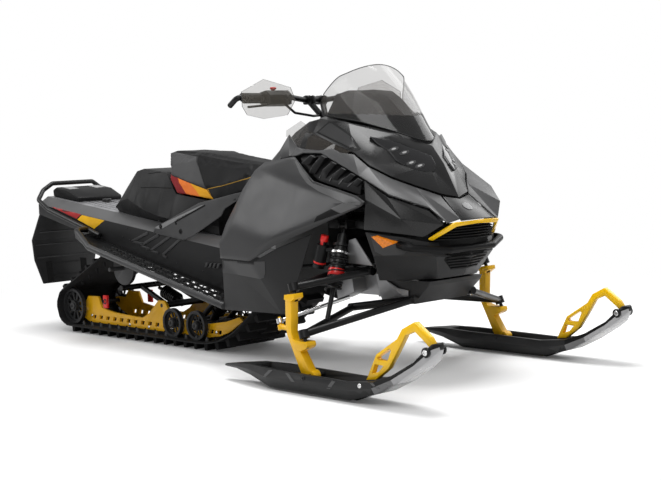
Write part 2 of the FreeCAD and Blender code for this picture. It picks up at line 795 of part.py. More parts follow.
def side_panel():
    """Large faceted side panel, right side."""
    faces = [
        "rear_top shoulder peak notch crease_front crease waist rear_high",
        "notch tip_top tip crease_front",
        "crease_front tip tip_low",
        "crease crease_front tip_low low_mid",
        "crease low_mid low_front",
        "waist crease low_front low_rear rear_mid rear_up",
        "rear_high waist rear_up",
    ]
    return skin(SIDE_PANEL, faces, SKIN, Vector(500, 0, 600))


def lower_panel():
    """Lower side panel with the end wall of the footwell, right side."""
    points = {
        "top_rear": (202, -364, 430), "top_mid": (408, -388, 428), "top_front": (548, -376, 489),
        "top_tip": (700, -334, 545), "low_tip": (612, -326, 238), "low_front": (517, -334, 230),
        "low_rear": (190, -350, 226), "fold": (592, -334, 320),
    }
    faces = ["top_rear top_mid low_front low_rear", "top_mid top_front fold low_front",
             "top_front top_tip fold", "fold low_tip low_front"]
    return skin(points, faces, SKIN, Vector(500, 0, 380))


HOOD = {
    "nose": (1137, 0, 668), "nose_side": (1117, -75, 684), "brow": (1070, 0, 790), "brow_side": (1052, -62, 790),
    "glass_nose": (1016, 0, 857), "glass_mid": (930, -124, 905), "glass_side": (780, -200, 950),
    "glass_rear": (640, -214, 975), "edge_rear": (642, -255, 919), "edge_mid": (771, -262, 874),
    "edge_front": (871, -266, 843), "edge_turn": (928, -250, 797), "edge_low": (998, -205, 752),
    "edge_nose": (1050, -142, 719), "top_end": (HOOD_REAR_X, -120, 994), "top_centre_end": (HOOD_REAR_X, 0, 996),
    "top_centre_front": (900, 0, 925),
}
HEADLAMP = {
    "tip": (889, -199, 901), "up_rear": (936, -140, 884), "up_mid": (959, -116, 872), "up_front": (1044, -37, 820),
    "end": (1065, -40, 790), "end_low": (1074, -58, 764), "low_front": (1032, -120, 771),
    "low_mid": (981, -161, 808), "low_rear": (963, -165, 830), "low_step": (944, -169, 851),
    "low_tip": (915, -191, 873),
}


def hood_shell(thickness):
    """Upper hood's skin from the bar to the nose."""
    faces = [
        "nose nose_side brow_side brow", "brow brow_side glass_nose", "glass_nose brow_side glass_mid",
        "brow_side nose_side edge_nose edge_low edge_turn glass_mid", "edge_turn edge_front glass_mid",
        "edge_front edge_mid glass_side glass_mid", "edge_mid edge_rear glass_rear glass_side",
        "edge_rear top_end glass_rear", "glass_nose glass_mid top_centre_front",
        "glass_mid glass_side top_centre_front", "glass_side glass_rear top_end top_centre_end top_centre_front",
    ]
    points, all_faces = with_mirror(HOOD, faces)
    return skin(points, all_faces, thickness, Vector(800, 0, 600))


def hood_posts(gap):
    """Posts behind the side windows, or the room for them."""
    outline = [(652, 908), (640, 918), (599, 921), (567, 869), (600, 868), (622, 900)]
    post = xz_prism(outline, -254 - gap, -246 + gap)
    return both(largest(post.cut(hood_bands(SKIN + 2 * SEAM))))


def hood():
    """Upper hood with its rear posts and room for the lamps."""
    shell = fuse([hood_shell(SKIN)] + hood_posts(0.0).Solids)
    room = headlamp(1.0 + 1.2 * RUNNING_GAP / 50, 60.0, 20.0)
    return largest(shell.cut(room).cut(mirrored(room)))


def headlamp(scale=1.0, depth=LAMP_DEPTH, lift=0.0):
    """Lamp housing that fills its opening in the hood, or the room for it, right side."""
    places = [Vector(*place) for place in HEADLAMP.values()]
    middle = Vector(0, 0, 0)
    for place in places:
        middle = middle.add(place)
    middle = middle.multiply(1 / len(places))
    corners = [middle.add(place.sub(middle).multiply(scale)) for place in places]
    normal = places[4].sub(places[0]).cross(places[7].sub(places[0])).normalize()
    if normal.x < 0:
        normal = normal.multiply(-1)
    flat = [corner.sub(Vector(normal).multiply(corner.sub(middle).dot(normal) - lift)) for corner in corners]
    return polygon_face(flat).extrude(Vector(normal).multiply(-depth - lift))


def hood_bands(thickness=SKIN):
    """Grey bands along both sides of the hood, down to the nose."""
    points = {
        "end_top": (487, -236, 919), "end_turn": (541, -246, 869), "window_rear": (602, -262, 862),
        "window_low": (684, -268, 855), "window_mid": (762, -272, 860), "window_front": (798, -272, 845),
        "up_front": (871, -271, 837), "up_turn": (930, -256, 790), "up_low": (1001, -210, 745),
        "up_mid": (1054, -147, 712), "up_nose": (1119, -80, 677), "up_tip": (1222, -96, 596),
        "tail": (429, -244, 849), "tail_low": (458, -250, 824), "tail_front": (511, -262, 834),
        "low_rear": (577, -288, 838), "low_step": (614, -287, 849), "low_mid": (717, -290, 846),
        "low_bend": (770, -296, 825), "low_front": (924, -302, 761), "low_turn": (1058, -288, 693),
        "low_nose": (1171, -198, 641), "low_tip": (1204, -142, 584),
    }
    faces = ["end_top end_turn tail_front tail_low tail", "end_turn window_rear low_rear tail_front",
             "window_rear window_low low_step low_rear", "window_low window_mid low_mid low_step",
             "window_mid window_front low_bend low_mid", "window_front up_front low_front low_bend",
             "up_front up_turn low_front", "up_turn up_low low_turn low_front", "up_low up_mid low_nose low_turn",
             "up_mid up_nose up_tip low_tip low_nose"]
    return both(skin(points, faces, thickness, Vector(800, 0, 500)))


def nose_cowl():
    """Black lower cowl between the bands, the trim and the belly."""
    points = {
        "top": (1142, 0, 662), "top_side": (1124, -72, 674), "logo_low": (1232, 0, 592),
        "logo_low_side": (1224, -90, 590),
    }
    centre_faces = ["top top_side logo_low_side logo_low"]
    centre_points, centre_all = with_mirror(points, centre_faces)
    centre = skin(centre_points, centre_all, SKIN, Vector(900, 0, 400))
    side_points = {
        "a": (950, -300, 742), "b": (1045, -286, 684), "c": (1160, -192, 630), "d": (1192, -150, 578),
        "e": (1096, -268, 603), "f": (982, -330, 677), "g": (968, -330, 567), "h": (1043, -300, 558),
        "i": (1093, -266, 549), "j": (1136, -196, 534),
    }
    side_faces = ["a b e f", "b c d e", "f e h g", "e i h", "e d j i"]
    side = skin(side_points, side_faces, SKIN, Vector(800, 0, 500))
    return Part.makeCompound([centre, side, mirrored(side)])


def nose_trim():
    """Yellow trim over the grille."""
    points = {
        "centre_up": (1236, 0, 588), "corner_up": (1222, -124, 582), "end_up": (1150, -186, 524),
        "centre_low": (1238, 0, 575), "corner_low": (1220, -114, 568), "end_low": (1152, -168, 520),
    }
    faces = ["centre_up corner_up corner_low centre_low", "corner_up end_up end_low corner_low"]
    all_points, all_faces = with_mirror(points, faces)
    return skin(all_points, all_faces, 8.0, Vector(900, 0, 560))


def grille():
    """Dark slats under the nose trim."""
    bars = []
    for i in range(5):
        z = 562.0 - 10.0 * i
        half = 106.0 + 9.0 * i
        outline = [(1216, 0), (1202, half), (1150, half + 24), (1146, half + 18), (1190, half - 6), (1206, 0)]
        whole = outline + [(x, -y) for x, y in reversed(outline[1:-1])]
        bars.append(xy_prism(whole, z - 4, z))
    trim = nose_trim()
    pieces = list(bars)
    for y in (-90.0, -30.0, 30.0, 90.0):
        post = box(1180, 1222, y - 3, y + 3, 518, 582).cut(trim)
        post = min(post.Solids, key=lambda solid: solid.CenterOfMass.z + solid.CenterOfMass.x)
        pieces.append(post)
        pieces.append(box(BULKHEAD_FRONT_X + RUNNING_GAP, 1181, y - 3, y + 3, 520, 534))
    return fuse(pieces)


def bumper(gap=0.0):
    """Front lip with rounded ends, or the room for it."""
    half = [Vector(1060, -246, 508), Vector(1118, -262, 500), Vector(1192, -120, 484)]
    points = half + [Vector(p.x, -p.y, p.z) for p in reversed(half)]
    return tube(points, BUMPER_RADIUS + gap, 24.0)


def belly_pan():
    """Lower front pan with the slatted vents."""
    points = {
        "top_rear": (968, -322, 556), "top_side": (1090, -258, 536), "top_front": (1140, -180, 516),
        "top_centre": (1186, 0, 500), "mid_rear": (982, -300, 472), "mid_front": (1160, -160, 462),
        "mid_centre": (1192, 0, 452), "low_rear": (950, -238, 374), "low_front": (1120, -110, 376),
        "low_centre": (1150, 0, 382), "keel_rear": (930, -106, 362), "keel_front": (1040, -90, 362),
        "keel_centre_front": (1060, 0, 362), "keel_centre": (930, 0, 360),
    }
    faces = [
        "top_rear top_side mid_front mid_rear", "top_side top_front mid_front",
        "top_front top_centre mid_centre mid_front", "mid_rear mid_front low_front low_rear",
        "mid_front mid_centre low_centre low_front", "low_rear low_front keel_front keel_rear",
        "low_front low_centre keel_centre_front keel_front", "keel_rear keel_front keel_centre_front keel_centre",
    ]
    all_points, all_faces = with_mirror(points, faces)
    pan = skin(all_points, all_faces, SKIN, Vector(900, 0, 480)).cut(bumper(RUNNING_GAP))
    back = BULKHEAD_FRONT_X + RUNNING_GAP
    keel = xz_prism([(back, 366), (1118, 372), (1108, 352), (1052, 300), (1010, 246), (back, 222)],
                    -KEEL_HALF, KEEL_HALF)
    hollow = xz_prism([(back - 1, 240), (1000, 262), (1042, 312), (1042, 420), (back - 1, 420)],
                      SKIN - KEEL_HALF, KEEL_HALF - SKIN)
    room = xz_prism([(back - 1, 368), (1180, 368), (1180, 500), (back - 1, 500)], -KEEL_HALF - 1, KEEL_HALF + 1)
    return fuse([pan, keel.cut(hollow).cut(room)])


def louvres():
    """Row of chevron fins between the side panel and the band."""
    base_points = {
        "a": (590, -272, 836), "b": (716, -278, 842), "c": (770, -284, 818), "d": (924, -286, 751),
        "e": (944, -318, 692), "f": (722, -312, 744), "g": (600, -282, 806),
    }
    base = skin(base_points, ["a b f g", "b c f", "c d e f"], SKIN, Vector(700, 0, 500))
    fins = []
    for low, bend, high in (((624, 808), (640, 816), (676, 838)), ((669, 772), (688, 799), (737, 836)),
                            ((724, 750), (742, 783), (790, 812)), ((779, 738), (795, 766), (840, 790)),
                            ((828, 727), (845, 746), (888, 769)), ((874, 718), (890, 732), (922, 751))):
        fins.append(xz_prism([low, bend, high, (high[0] + 22, high[1] - 9), (bend[0] + 32, bend[1] - 12),
                              (low[0] + 30, low[1] - 6)], -308.0, -284.0))
    return both(largest(fuse([base] + fins).cut(hood_bands(SKIN + SEAM))))


def windshield():
    """Curved clear screen over the dash."""
    rows = [
        [(672, -222, 985), (800, -176, 960), (930, -96, 912), (1010, 0, 870)],
        [(664, -228, 1052), (765, -170, 1052), (862, -92, 1030), (912, 0, 1012)],
        [(716, -184, 1128), (738, -128, 1150), (752, -66, 1168), (758, 0, 1176)],
    ]
    grid = []
    for row in rows:
        right = [Vector(*place) for place in row]
        left = [Vector(x, -y, z) for x, y, z in reversed(row[:-1])]
        grid.append(right + left)
    surface = Part.BSplineSurface()
    surface.interpolate(grid)
    return surface.toShape().extrude(Vector(-4.0, 0, -1.5))


def dash_hood():
    """Faceted dark shroud inside the screen."""
    points = {
        "nose": (978, 0, 892), "low_mid": (894, -104, 934), "low_side": (770, -178, 962), "low_rear": (650, -190, 984),
        "brow": (794, 0, 1052), "brow_side": (780, -92, 1046), "top_side": (722, -104, 1076),
        "rear_side": (628, -110, 1070), "top": (722, 0, 1082), "rear": (628, 0, 1074),
        "rear_low_side": (620, -120, 1000), "rear_low": (620, 0, 1002),
    }
    faces = [
        "nose low_mid brow_side brow", "low_mid low_side top_side brow_side", "low_side low_rear rear_side top_side",
        "brow brow_side top_side top", "top top_side rear_side rear", "low_rear rear_low_side rear_side",
        "rear rear_side rear_low_side rear_low",
    ]
    all_points, all_faces = with_mirror(points, faces)
    return skin(all_points, all_faces, SKIN, Vector(760, 0, 960)).translated(Vector(0, 0, -DASH_DROP))


def side_windows():
    """Smoked panes between the hood and the bands."""
    points = {
        "a": (622, -252, 926), "b": (771, -259, 884), "c": (868, -262, 850), "d": (800, -266, 836),
        "e": (762, -268, 850), "f": (684, -265, 846), "g": (598, -259, 856),
    }
    pane = skin(points, ["a b f g", "b c d e f"], 3.0, Vector(700, 0, 700))
    over = hood_shell(SKIN + SEAM)
    below = over.translated(Vector(0, 0, -2 * SEAM))
    return both(largest(pane.cut(over).cut(below).cut(hood_bands(SKIN + SEAM)).cut(hood_posts(SEAM))))


def side_deflectors():
    """Small clear wind deflectors beside the bar."""
    outline = [(497, 908), (480, 910), (483, 934), (566, 968), (601, 950), (614, 914), (592, 866), (549, 871)]
    pane = xz_prism(outline, -245.7, -242.7)
    return both(largest(pane.cut(hood_bands()).cut(console())))


def tail_lamp():
    """Rear lamp on the back of the tail cap."""
    back = TUNNEL_REAR_X + 12 - RUNNING_GAP
    return box(back - 10, back, -96, 96, 664, 686)


# Engine bay and front frame

def engine():
    """Plain block for the engine."""
    return box(330, BULKHEAD_REAR_X - RUNNING_GAP, -190, 190, 330, 620)


def front_frame():
    """Front bulkhead with its cast side pieces and the brackets of the arms and shocks."""
    pieces = [box(BULKHEAD_REAR_X, BULKHEAD_FRONT_X, -120, 120, 300, 560)]
    upper = [(792, 524), (828, 512), (901, 431), (812, 415), (758, 438)]
    lower = [(848, 387), (877, 396), (908, 361), (964, 338), (1013, 331), (1011, 294), (886, 265)]
    plate = [(668, 352), (760, 369), (768, 316), (680, 283)]
    pivot = UPPER_PIVOT_Y + ARM_TUBE_RADIUS + 2 + RUNNING_GAP
    for side in (-1, 1):
        for outline, inner, outer in ((upper, 110.0, 226.0), (lower, KEEL_HALF + 3, 154.0), (plate, 110.0, 190.0)):
            low, high = sorted((side * inner, side * outer))
            pieces.append(xz_prism(outline, low, high))
        low, high = sorted((side * 60.0, side * 234.0))
        pieces.append(box(690, 880, low, high, 560, 590))
        low, high = sorted((side * 110.0, side * -pivot))
        for x in (764.0, 846.0):
            pieces.append(box(x, x + 22, low, high, 386, 418))
        low, high = sorted((side * 230.0, side * 278.0))
        for x in (SHOCK_TOP.x - SHOCK_EYE_HALF - RUNNING_GAP - 8, SHOCK_TOP.x + SHOCK_EYE_HALF + RUNNING_GAP):
            pieces.append(box(x, x + 8, low, high, 564, 594))
        low, high = sorted((side * 110.0, side * 152.0))
        pieces.append(box(860, 898, low, high, 300, 390))
    return fuse(pieces)


def body_frame(panels):
    """Square tube frame inside the body, with a boss to each panel that it carries."""
    half = FRAME_RADIUS
    back = HOOD_REAR_X + 2 * half
    low = 590.0 + RUNNING_GAP
    frame = fuse([
        box(back - half, back + half, -196, 196, 860 - half, 860 + half),
        box(690, 690 + 2 * half, -132, 132, low, low + 2 * half),
        box(870, 870 + 2 * half, -106, 106, low, low + 2 * half),
    ])
    for side in (-1, 1):
        frame = frame.fuse(side_rail(side))
        frame = frame.fuse(rod(Vector(697, side * 121, low + 8), Vector(back + 1, side * 184, 853), half - 3))
        reaches = [
            (Vector(back, side * 165, 861), Vector(700, side * 240, 980), panels["hood"]),
            (Vector(879, side * 96, low + 9), Vector(1110, side * 225, 722), panels["hood_bands"]),
            (Vector(701, side * 98, low + 11), Vector(712, side * 420, 660), panels["side_panel"]),
            (Vector(881, side * 84, low + 8), Vector(1060, side * 320, 652), panels["nose_cowl"]),
            (Vector(664, side * 156, 750), Vector(700, side * 340, 790), panels["louvres"]),
        ]
        for start, end, panel in reaches:
            frame = frame.fuse(mount(start, end, BOSS_RADIUS, panel))
    return frame.fuse(mount(Vector(878, 3, low + 9), Vector(1240, 3, 640), BOSS_RADIUS, panels["nose_cowl"]))


def side_rail(side):
    """One lower rail of the body frame, between its two cross members."""
    low = 590.0 + RUNNING_GAP + 2
    outline = [(695, side * 112), (885, side * 88), (885, side * 100), (695, side * 124)]
    return xy_prism(outline, low, low + 2 * FRAME_RADIUS - 4)


def panel_stays(panel):
    """Stays from the bulkhead to the lower side panels."""
    stays = []
    for side in (-1, 1):
        start = Vector(700, side * (120 + RUNNING_GAP), 420)
        stays.append(mount(start, Vector(610, side * 400, 420), BOSS_RADIUS, panel))
    cutter = box(BULKHEAD_REAR_X - 1, BULKHEAD_FRONT_X, -120 - RUNNING_GAP, 120 + RUNNING_GAP, 300, 560)
    return Part.makeCompound([stay.cut(cutter) for stay in stays])


def kingpin():
    """Unit vector up the right kingpin axis."""
    return UPPER_JOINT.sub(LOWER_JOINT).normalize()


def stud(joint):
    """Ball joint stud from an arm's ball down through a spindle shelf."""
    axis = kingpin()
    return rod(joint.sub(Vector(axis).multiply(STUD_DROP)), joint.add(Vector(axis).multiply(BALL_RISE)), STUD_RADIUS)


def arm(joint, front, rear):
    """Suspension arm of two tubes from a ball joint housing to its inner pivots."""
    axis = kingpin()
    out = joint.add(Vector(axis).multiply(BALL_RISE))
    low = out.sub(Vector(axis).multiply(ARM_HOUSING_HALF))
    high = out.add(Vector(axis).multiply(ARM_HOUSING_HALF))
    pieces = [rod(low, high, ARM_BALL_RADIUS), stud(joint), cross_tube(rear, front)]
    for inner in (front, rear):
        pieces.append(rod(out, inner, ARM_TUBE_RADIUS))
    return fuse(pieces)


def cross_tube(rear, front):
    """Pivot tube between the two inner ends of an arm."""
    unit = front.sub(rear).normalize()
    start = rear.sub(Vector(unit).multiply(ARM_TUBE_RADIUS + 4))
    end = front.add(Vector(unit).multiply(ARM_TUBE_RADIUS + 4))
    return rod(start, end, ARM_TUBE_RADIUS + 2)


def upper_arm():
    """Upper suspension arm, right side."""
    return arm(UPPER_JOINT, Vector(910, UPPER_PIVOT_Y, 406), Vector(742, UPPER_PIVOT_Y, 398))


def lower_arm():
    """Lower suspension arm, right side."""
    return arm(LOWER_JOINT, LOWER_PIVOT_FRONT, LOWER_PIVOT_REAR)


def shock():
    """Front damper with its spring and top eye, right side."""
    unit = SHOCK_LOW.sub(SHOCK_TOP).normalize()
    shoulder = SHOCK_TOP.add(Vector(unit).multiply(36))
    eye = Part.makeCylinder(13, 2 * SHOCK_EYE_HALF, SHOCK_TOP.sub(Vector(SHOCK_EYE_HALF, 0, 0)), Vector(1, 0, 0))
    body = fuse([damper(shoulder, SHOCK_LOW, 20.0, 30.0, (0.10, 0.62)), rod(SHOCK_TOP, shoulder, 9.0), eye])
    outer = LOWER_JOINT.add(kingpin().multiply(BALL_RISE))
    return largest(body.cut(rod(outer, LOWER_PIVOT_REAR, ARM_TUBE_RADIUS + RUNNING_GAP)))


def reservoir():
    """Remote reservoir with its adjuster knob, seated on the shock's collar, right side."""
    top = Vector(743, -318, 505)
    low = Vector(718, -322, 420)
    unit = top.sub(low).normalize()
    can = rod(low, top, 23.0)
    band = rod(low.add(Vector(unit).multiply(10)), low.add(Vector(unit).multiply(15)), 24.5)
    neck = rod(top, top.add(Vector(unit).multiply(14)), 12.0)
    knob = rod(top.add(Vector(unit).multiply(14)), top.add(Vector(unit).multiply(36)), 15.0)
    clamp = rod(Vector(738, -319, 486), Vector(812, -300, 486), 9.0)
    whole = fuse([can, band, neck, knob, clamp])
    above = SHOCK_TOP.add(SHOCK_TOP.sub(SHOCK_LOW).multiply(0.05))
    return largest(whole.cut(rod(above, SHOCK_LOW, 30.0 + RUNNING_GAP)))


# Skis and spindles

def spindle():
    """Forged upright with two shelves and a steering arm, right side."""
    y = LOWER_JOINT.y + 10
    web = xz_prism([
        (790, 346), (818, 340), (820, 318), (814, 213), (835, 168), (858, 149), (904, 80), (896, 52), (866, 58),
        (793, 202), (787, 240),
    ], y - SPINDLE_HALF, y + SPINDLE_HALF)
    top = xz_prism([(788, 330), (790, 346), (840, 353), (843, 338), (820, 322)], y - 22, y + 22)
    low = xz_prism([(818, 192), (840, 186), (898, 185), (902, 172), (896, 163), (858, 146), (826, 172)],
                   y - 22, y + 22)
    axis = kingpin()
    eye = TIE_ROD_OUTER.sub(Vector(axis).multiply(TIE_ROD_EYE_DROP))
    eye_low = eye.sub(Vector(axis).multiply(9))
    eye_high = eye.add(Vector(axis).multiply(9))
    pin_top = TIE_ROD_OUTER.add(Vector(axis).multiply(TIE_ROD_RADIUS + 6))
    arm = fuse([rod(Vector(800, y, 222), eye, 9.0), rod(eye_low, eye_high, 13.0),
                rod(eye_low, pin_top, TIE_ROD_PIN_RADIUS)])
    foot = cross_rod(SKI_PIVOT_X, SKI_PIVOT_Z, y - SPINDLE_HALF, y + SPINDLE_HALF, 20.0)
    upright = fuse([web, top, low, arm, foot])
    for joint in (UPPER_JOINT, LOWER_JOINT):
        low_end = joint.sub(Vector(axis).multiply(2 * STUD_DROP))
        high_end = joint.add(Vector(axis).multiply(2 * STUD_DROP))
        upright = upright.cut(rod(low_end, high_end, STUD_RADIUS + RUNNING_GAP))
    bolt = cross_rod(SKI_PIVOT_X, SKI_PIVOT_Z, y - 40, y + 40, SKI_PIVOT_RADIUS + RUNNING_GAP)
    return upright.cut(bolt)


def ski_section(x, half_low, half_top, z_low, z_top):
    """Section of a ski about its own middle line."""
    middle = -SKI_STANCE / 2
    return yz_section(x, [(middle - half_low, z_low), (middle - half_top, z_low + 0.55 * (z_top - z_low)),
                          (middle - half_top + 4, z_top), (middle + half_top - 4, z_top),
                          (middle + half_top, z_low + 0.55 * (z_top - z_low)), (middle + half_low, z_low)])


def ski():
    """Ski with its upturned tip, keel and raised side rails, right side."""
    def behind(distance):
        return FRONT_REACH - distance
    body = loft([
        ski_section(behind(1086), 8, 11, 52, 60),
        ski_section(behind(1008), 20, 26, 52, 70),
        ski_section(behind(908), 38, 46, 40, 80),
        ski_section(behind(788), 48, 64, 8, 80),
        ski_section(behind(378), 50, SKI_HALF_WIDTH, 8, 74),
        ski_section(behind(258), 52, SKI_HALF_WIDTH, 42, 86),
        ski_section(behind(168), 54, 66, 86, 118),
        ski_section(behind(75), 50, 60, 142, 170),
        ski_section(behind(38), 38, 46, 168, 208),
        ski_section(behind(18), 24, 32, 190, 230),
        ski_section(behind(0), 8, 12, 210, 228),
    ])
    middle = -SKI_STANCE / 2
    trough = loft([
        yz_section(behind(distance), [(middle - half, z), (middle + half, z), (middle + half + 8, z + 80),
                                      (middle - half - 8, z + 80)])
        for distance, half, z in ((868, 30, 48), (748, 42, 34), (388, 44, 34), (278, 40, 76))
    ])
    keel = xz_prism([(behind(808), 8.5), (behind(378), 8.5), (behind(318), 24), (behind(388), 0), (behind(778), 0)],
                    middle - 6, middle + 6)
    bolt = cross_rod(SKI_PIVOT_X, SKI_PIVOT_Z, middle - 66, middle + 66, SKI_PIVOT_RADIUS)
    return fuse([body.cut(trough), keel, bolt])


def ski_handle():
    """Yellow loop handle with two windows, right side."""
    middle = -SKI_STANCE / 2

    def side_view(places):
        return [(FRONT_REACH - distance, z) for distance, z in places]
    outer = side_view([(334, 78), (284, 170), (187, 230), (163, 265), (107, 293), (43, 248), (20, 214), (32, 204),
                       (56, 225), (107, 262), (149, 245), (188, 186), (228, 128), (289, 84)])
    handle = xz_prism(outer, middle - 12, middle + 12)
    for window in ([(282, 159), (222, 195), (215, 189), (233, 152), (276, 152)],
                   [(293, 136), (253, 134), (273, 113), (307, 102)]):
        handle = handle.cut(xz_prism(side_view(window), middle - 13, middle + 13))
    return largest(handle.cut(ski()))


def tie_rod():
    """Tie rod with its outer eye over the spindle's pin, right side."""
    axis = kingpin()
    low = TIE_ROD_OUTER.sub(Vector(axis).multiply(TIE_ROD_RADIUS))
    high = TIE_ROD_OUTER.add(Vector(axis).multiply(TIE_ROD_RADIUS))
    body = fuse([rod(low, high, TIE_ROD_EYE_RADIUS), rod(TIE_ROD_OUTER, TIE_ROD_INNER, TIE_ROD_RADIUS - 1)])
    hole_low = low.sub(Vector(axis).multiply(4))
    hole_high = high.add(Vector(axis).multiply(4))
    return body.cut(rod(hole_low, hole_high, TIE_ROD_PIN_RADIUS + RUNNING_GAP))


# Steering

def bar_point(y, back, up):
    """Point on the bar, measured from its centre."""
    return BAR_CENTRE.add(Vector(-back, y, up))


def handlebar():
    """Bar with hooked ends, clamps and riser."""
    right = [bar_point(-396, 62, -18), bar_point(-404, 6, 12), bar_point(-140, -8, 10), bar_point(-60, 0, 0)]
    left = [Vector(p.x, -p.y, p.z) for p in reversed(right)]
    bar = tube(right + left, BAR_RADIUS, 20.0)
    axis = steer_axis()
    riser_low = BAR_CENTRE.sub(Vector(axis).multiply(70))
    pieces = [bar]
    for side in (-1, 1):
        clamp = cross_rod(BAR_CENTRE.x, BAR_CENTRE.z, side * 40 - 10, side * 40 + 10, 18.0)
        leg = rod(BAR_CENTRE.add(Vector(0, side * 40, 0)), riser_low.add(Vector(0, side * 14, 0)), 12.0)
        pieces += [clamp, leg]
    column = rod(BAR_CENTRE.sub(Vector(axis).multiply(COLUMN_LENGTH)), riser_low, COLUMN_RADIUS)
    pieces.append(column)
    for side in (-1, 1):
        a = bar_point(side * 195, -5, 10)
        b = Vector(GUARD_X - RUNNING_GAP, a.y, a.z)
        pieces.append(rod(a, b, 9.0))
    hose = [bar_point(-196, -30, -14), bar_point(-150, -40, -52), bar_point(-60, -50, -66), riser_low.add(Vector(0, -8, -6))]
    pieces.append(tube(hose, HOSE_RADIUS, 16.0))
    return fuse(pieces)


def grips():
    """Rubber grips on both ends of the bar, right one first."""
    a = bar_point(-384, 4.9, 11.8)
    b = bar_point(-292, 0.0, 11.1)
    grip = rod(a, b, GRIP_RADIUS).cut(rod(a.sub(b).add(a), b, BAR_RADIUS + RUNNING_GAP))
    return both(grip)


def controls():
    """Control housings on the bar with the throttle and brake levers."""
    outline = [(374, 1046), (382, 1086), (418, 1092), (440, 1074), (434, 1038), (398, 1030)]
    housing = xz_prism(outline, -284, -168)
    lever = tube([Vector(418, -272, 1042), Vector(424, -300, 1034), Vector(418, -380, 1028)], 4.5, 12.0)
    whole = both(fuse([housing, lever]))
    cut = whole.cut(handlebar())
    return Part.makeCompound([solid for solid in cut.Solids if solid.Volume > 20000])


def handguards():
    """Translucent hand guards in front of the grips."""
    def shield(places, x):
        return polygon_face([Vector(x, y, z) for y, z in places]).extrude(Vector(GUARD_THICKNESS, 0, 0))
    return both(shield(GUARD_OUTLINE, GUARD_X))


def main():
    """Build and write every piece."""
    os.makedirs("parts", exist_ok=True)
    save("track", track())
    wheels()
    save("rails", rails())
    save("slide_shoes", slide_shoes())
    save("skid_arms", skid_arms())
    save("skid_shocks", skid_shocks())
    save("drive_axle", drive_axle())
    save("tunnel", tunnel())
    save("running_boards", both(running_board()))
    save("grab_bar", grab_bar())
    save("snow_flap", snow_flap())
    save("tail_deck", tail_deck())
    save("seat_base", seat_base())
    save("seat", seat())
    save("seat_brackets", seat_brackets())
    save("console", console())
    save("side_panel_right", side_panel())
    save("side_panel_left", mirrored(side_panel()))
    save("lower_panels", both(lower_panel()))
    panels = {
        "hood": hood(), "hood_bands": hood_bands(), "nose_cowl": nose_cowl(), "louvres": louvres(),
        "side_panel": both(side_panel()),
    }
    save("hood", panels["hood"])
    save("headlamps", both(headlamp()))
    save("hood_bands", panels["hood_bands"])
    save("nose_cowl", panels["nose_cowl"])
    save("nose_trim", nose_trim())
    save("grille", grille())
    save("bumper", bumper())
    save("belly_pan", belly_pan())
    save("louvres", panels["louvres"])
    save("body_frame", body_frame(panels))
    save("windshield", windshield())
    save("dash_hood", dash_hood())
    save("side_windows", side_windows())
    save("side_deflectors", side_deflectors())
    save("engine", engine())
    save("front_frame", front_frame())
    save("panel_stays", panel_stays(both(lower_panel())))
    save("control_arms", Part.makeCompound([both(upper_arm()), both(lower_arm())]))
    save("shocks", both(shock()))
    save("reservoirs", both(reservoir()))
    save("tail_lamp", tail_lamp())
    for side, place in (("right", lambda shape: shape), ("left", mirrored)):
        save("spindle_" + side, place(spindle()))
        save("ski_" + side, place(ski()))
        save("ski_handle_" + side, place(ski_handle()))
        save("tie_rod_" + side, place(tie_rod()))
    save("handlebar", handlebar())
    save("grips", grips())
    save("controls", controls())
    save("handguards", handguards())


main()
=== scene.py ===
"""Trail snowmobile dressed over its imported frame, in metres, with its studio and camera."""

import json
import logging
import math
from contextlib import contextmanager
from dataclasses import dataclass, field
from enum import Enum
from typing import Callable, Iterator

import bmesh
import bpy
from mathutils import Matrix, Vector


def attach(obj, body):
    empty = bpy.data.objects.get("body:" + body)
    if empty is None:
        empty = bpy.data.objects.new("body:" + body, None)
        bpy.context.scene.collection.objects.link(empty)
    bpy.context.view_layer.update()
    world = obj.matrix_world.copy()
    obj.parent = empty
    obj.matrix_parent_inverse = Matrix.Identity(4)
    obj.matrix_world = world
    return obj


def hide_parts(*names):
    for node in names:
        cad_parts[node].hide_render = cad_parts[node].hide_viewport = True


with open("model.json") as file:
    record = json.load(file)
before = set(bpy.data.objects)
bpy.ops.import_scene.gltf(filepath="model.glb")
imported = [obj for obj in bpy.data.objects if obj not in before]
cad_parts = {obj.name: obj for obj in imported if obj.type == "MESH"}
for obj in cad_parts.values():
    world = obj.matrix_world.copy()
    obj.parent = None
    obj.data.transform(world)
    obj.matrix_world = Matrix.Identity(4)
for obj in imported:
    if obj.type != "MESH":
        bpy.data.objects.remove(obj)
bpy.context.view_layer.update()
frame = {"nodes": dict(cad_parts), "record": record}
LOG = logging.getLogger("snowmobile")

MM = 0.001
MERGE_GAP = 0.00001
COPY_MERGE_GAP = 0.00002
FLAT_ANGLE = 1.0
CRISP_ANGLE = 34.0
THROW_START = 2000.0
INLAY_GAP = 0.2
WHITE = (1.0, 1.0, 1.0, 1.0)
CLOUD_SPAN = (0.3, 0.7)
CLOUD_DETAIL = 4.0
COAT_ROUGHNESS = 0.08
BUMP_STRENGTH = 0.6
PLASTIC_IOR = 1.49
HAZE_SCALE = 6.0

Colour = tuple[float, float, float]
Point = tuple[float, float, float]
Place = tuple[float, float]
Outline = tuple[Place, ...]
Piece = bpy.types.Object
Socket = bpy.types.NodeSocket


def metres(*place: float) -> Vector:
    """A place given in millimetres, in metres."""
    return Vector(place) * MM


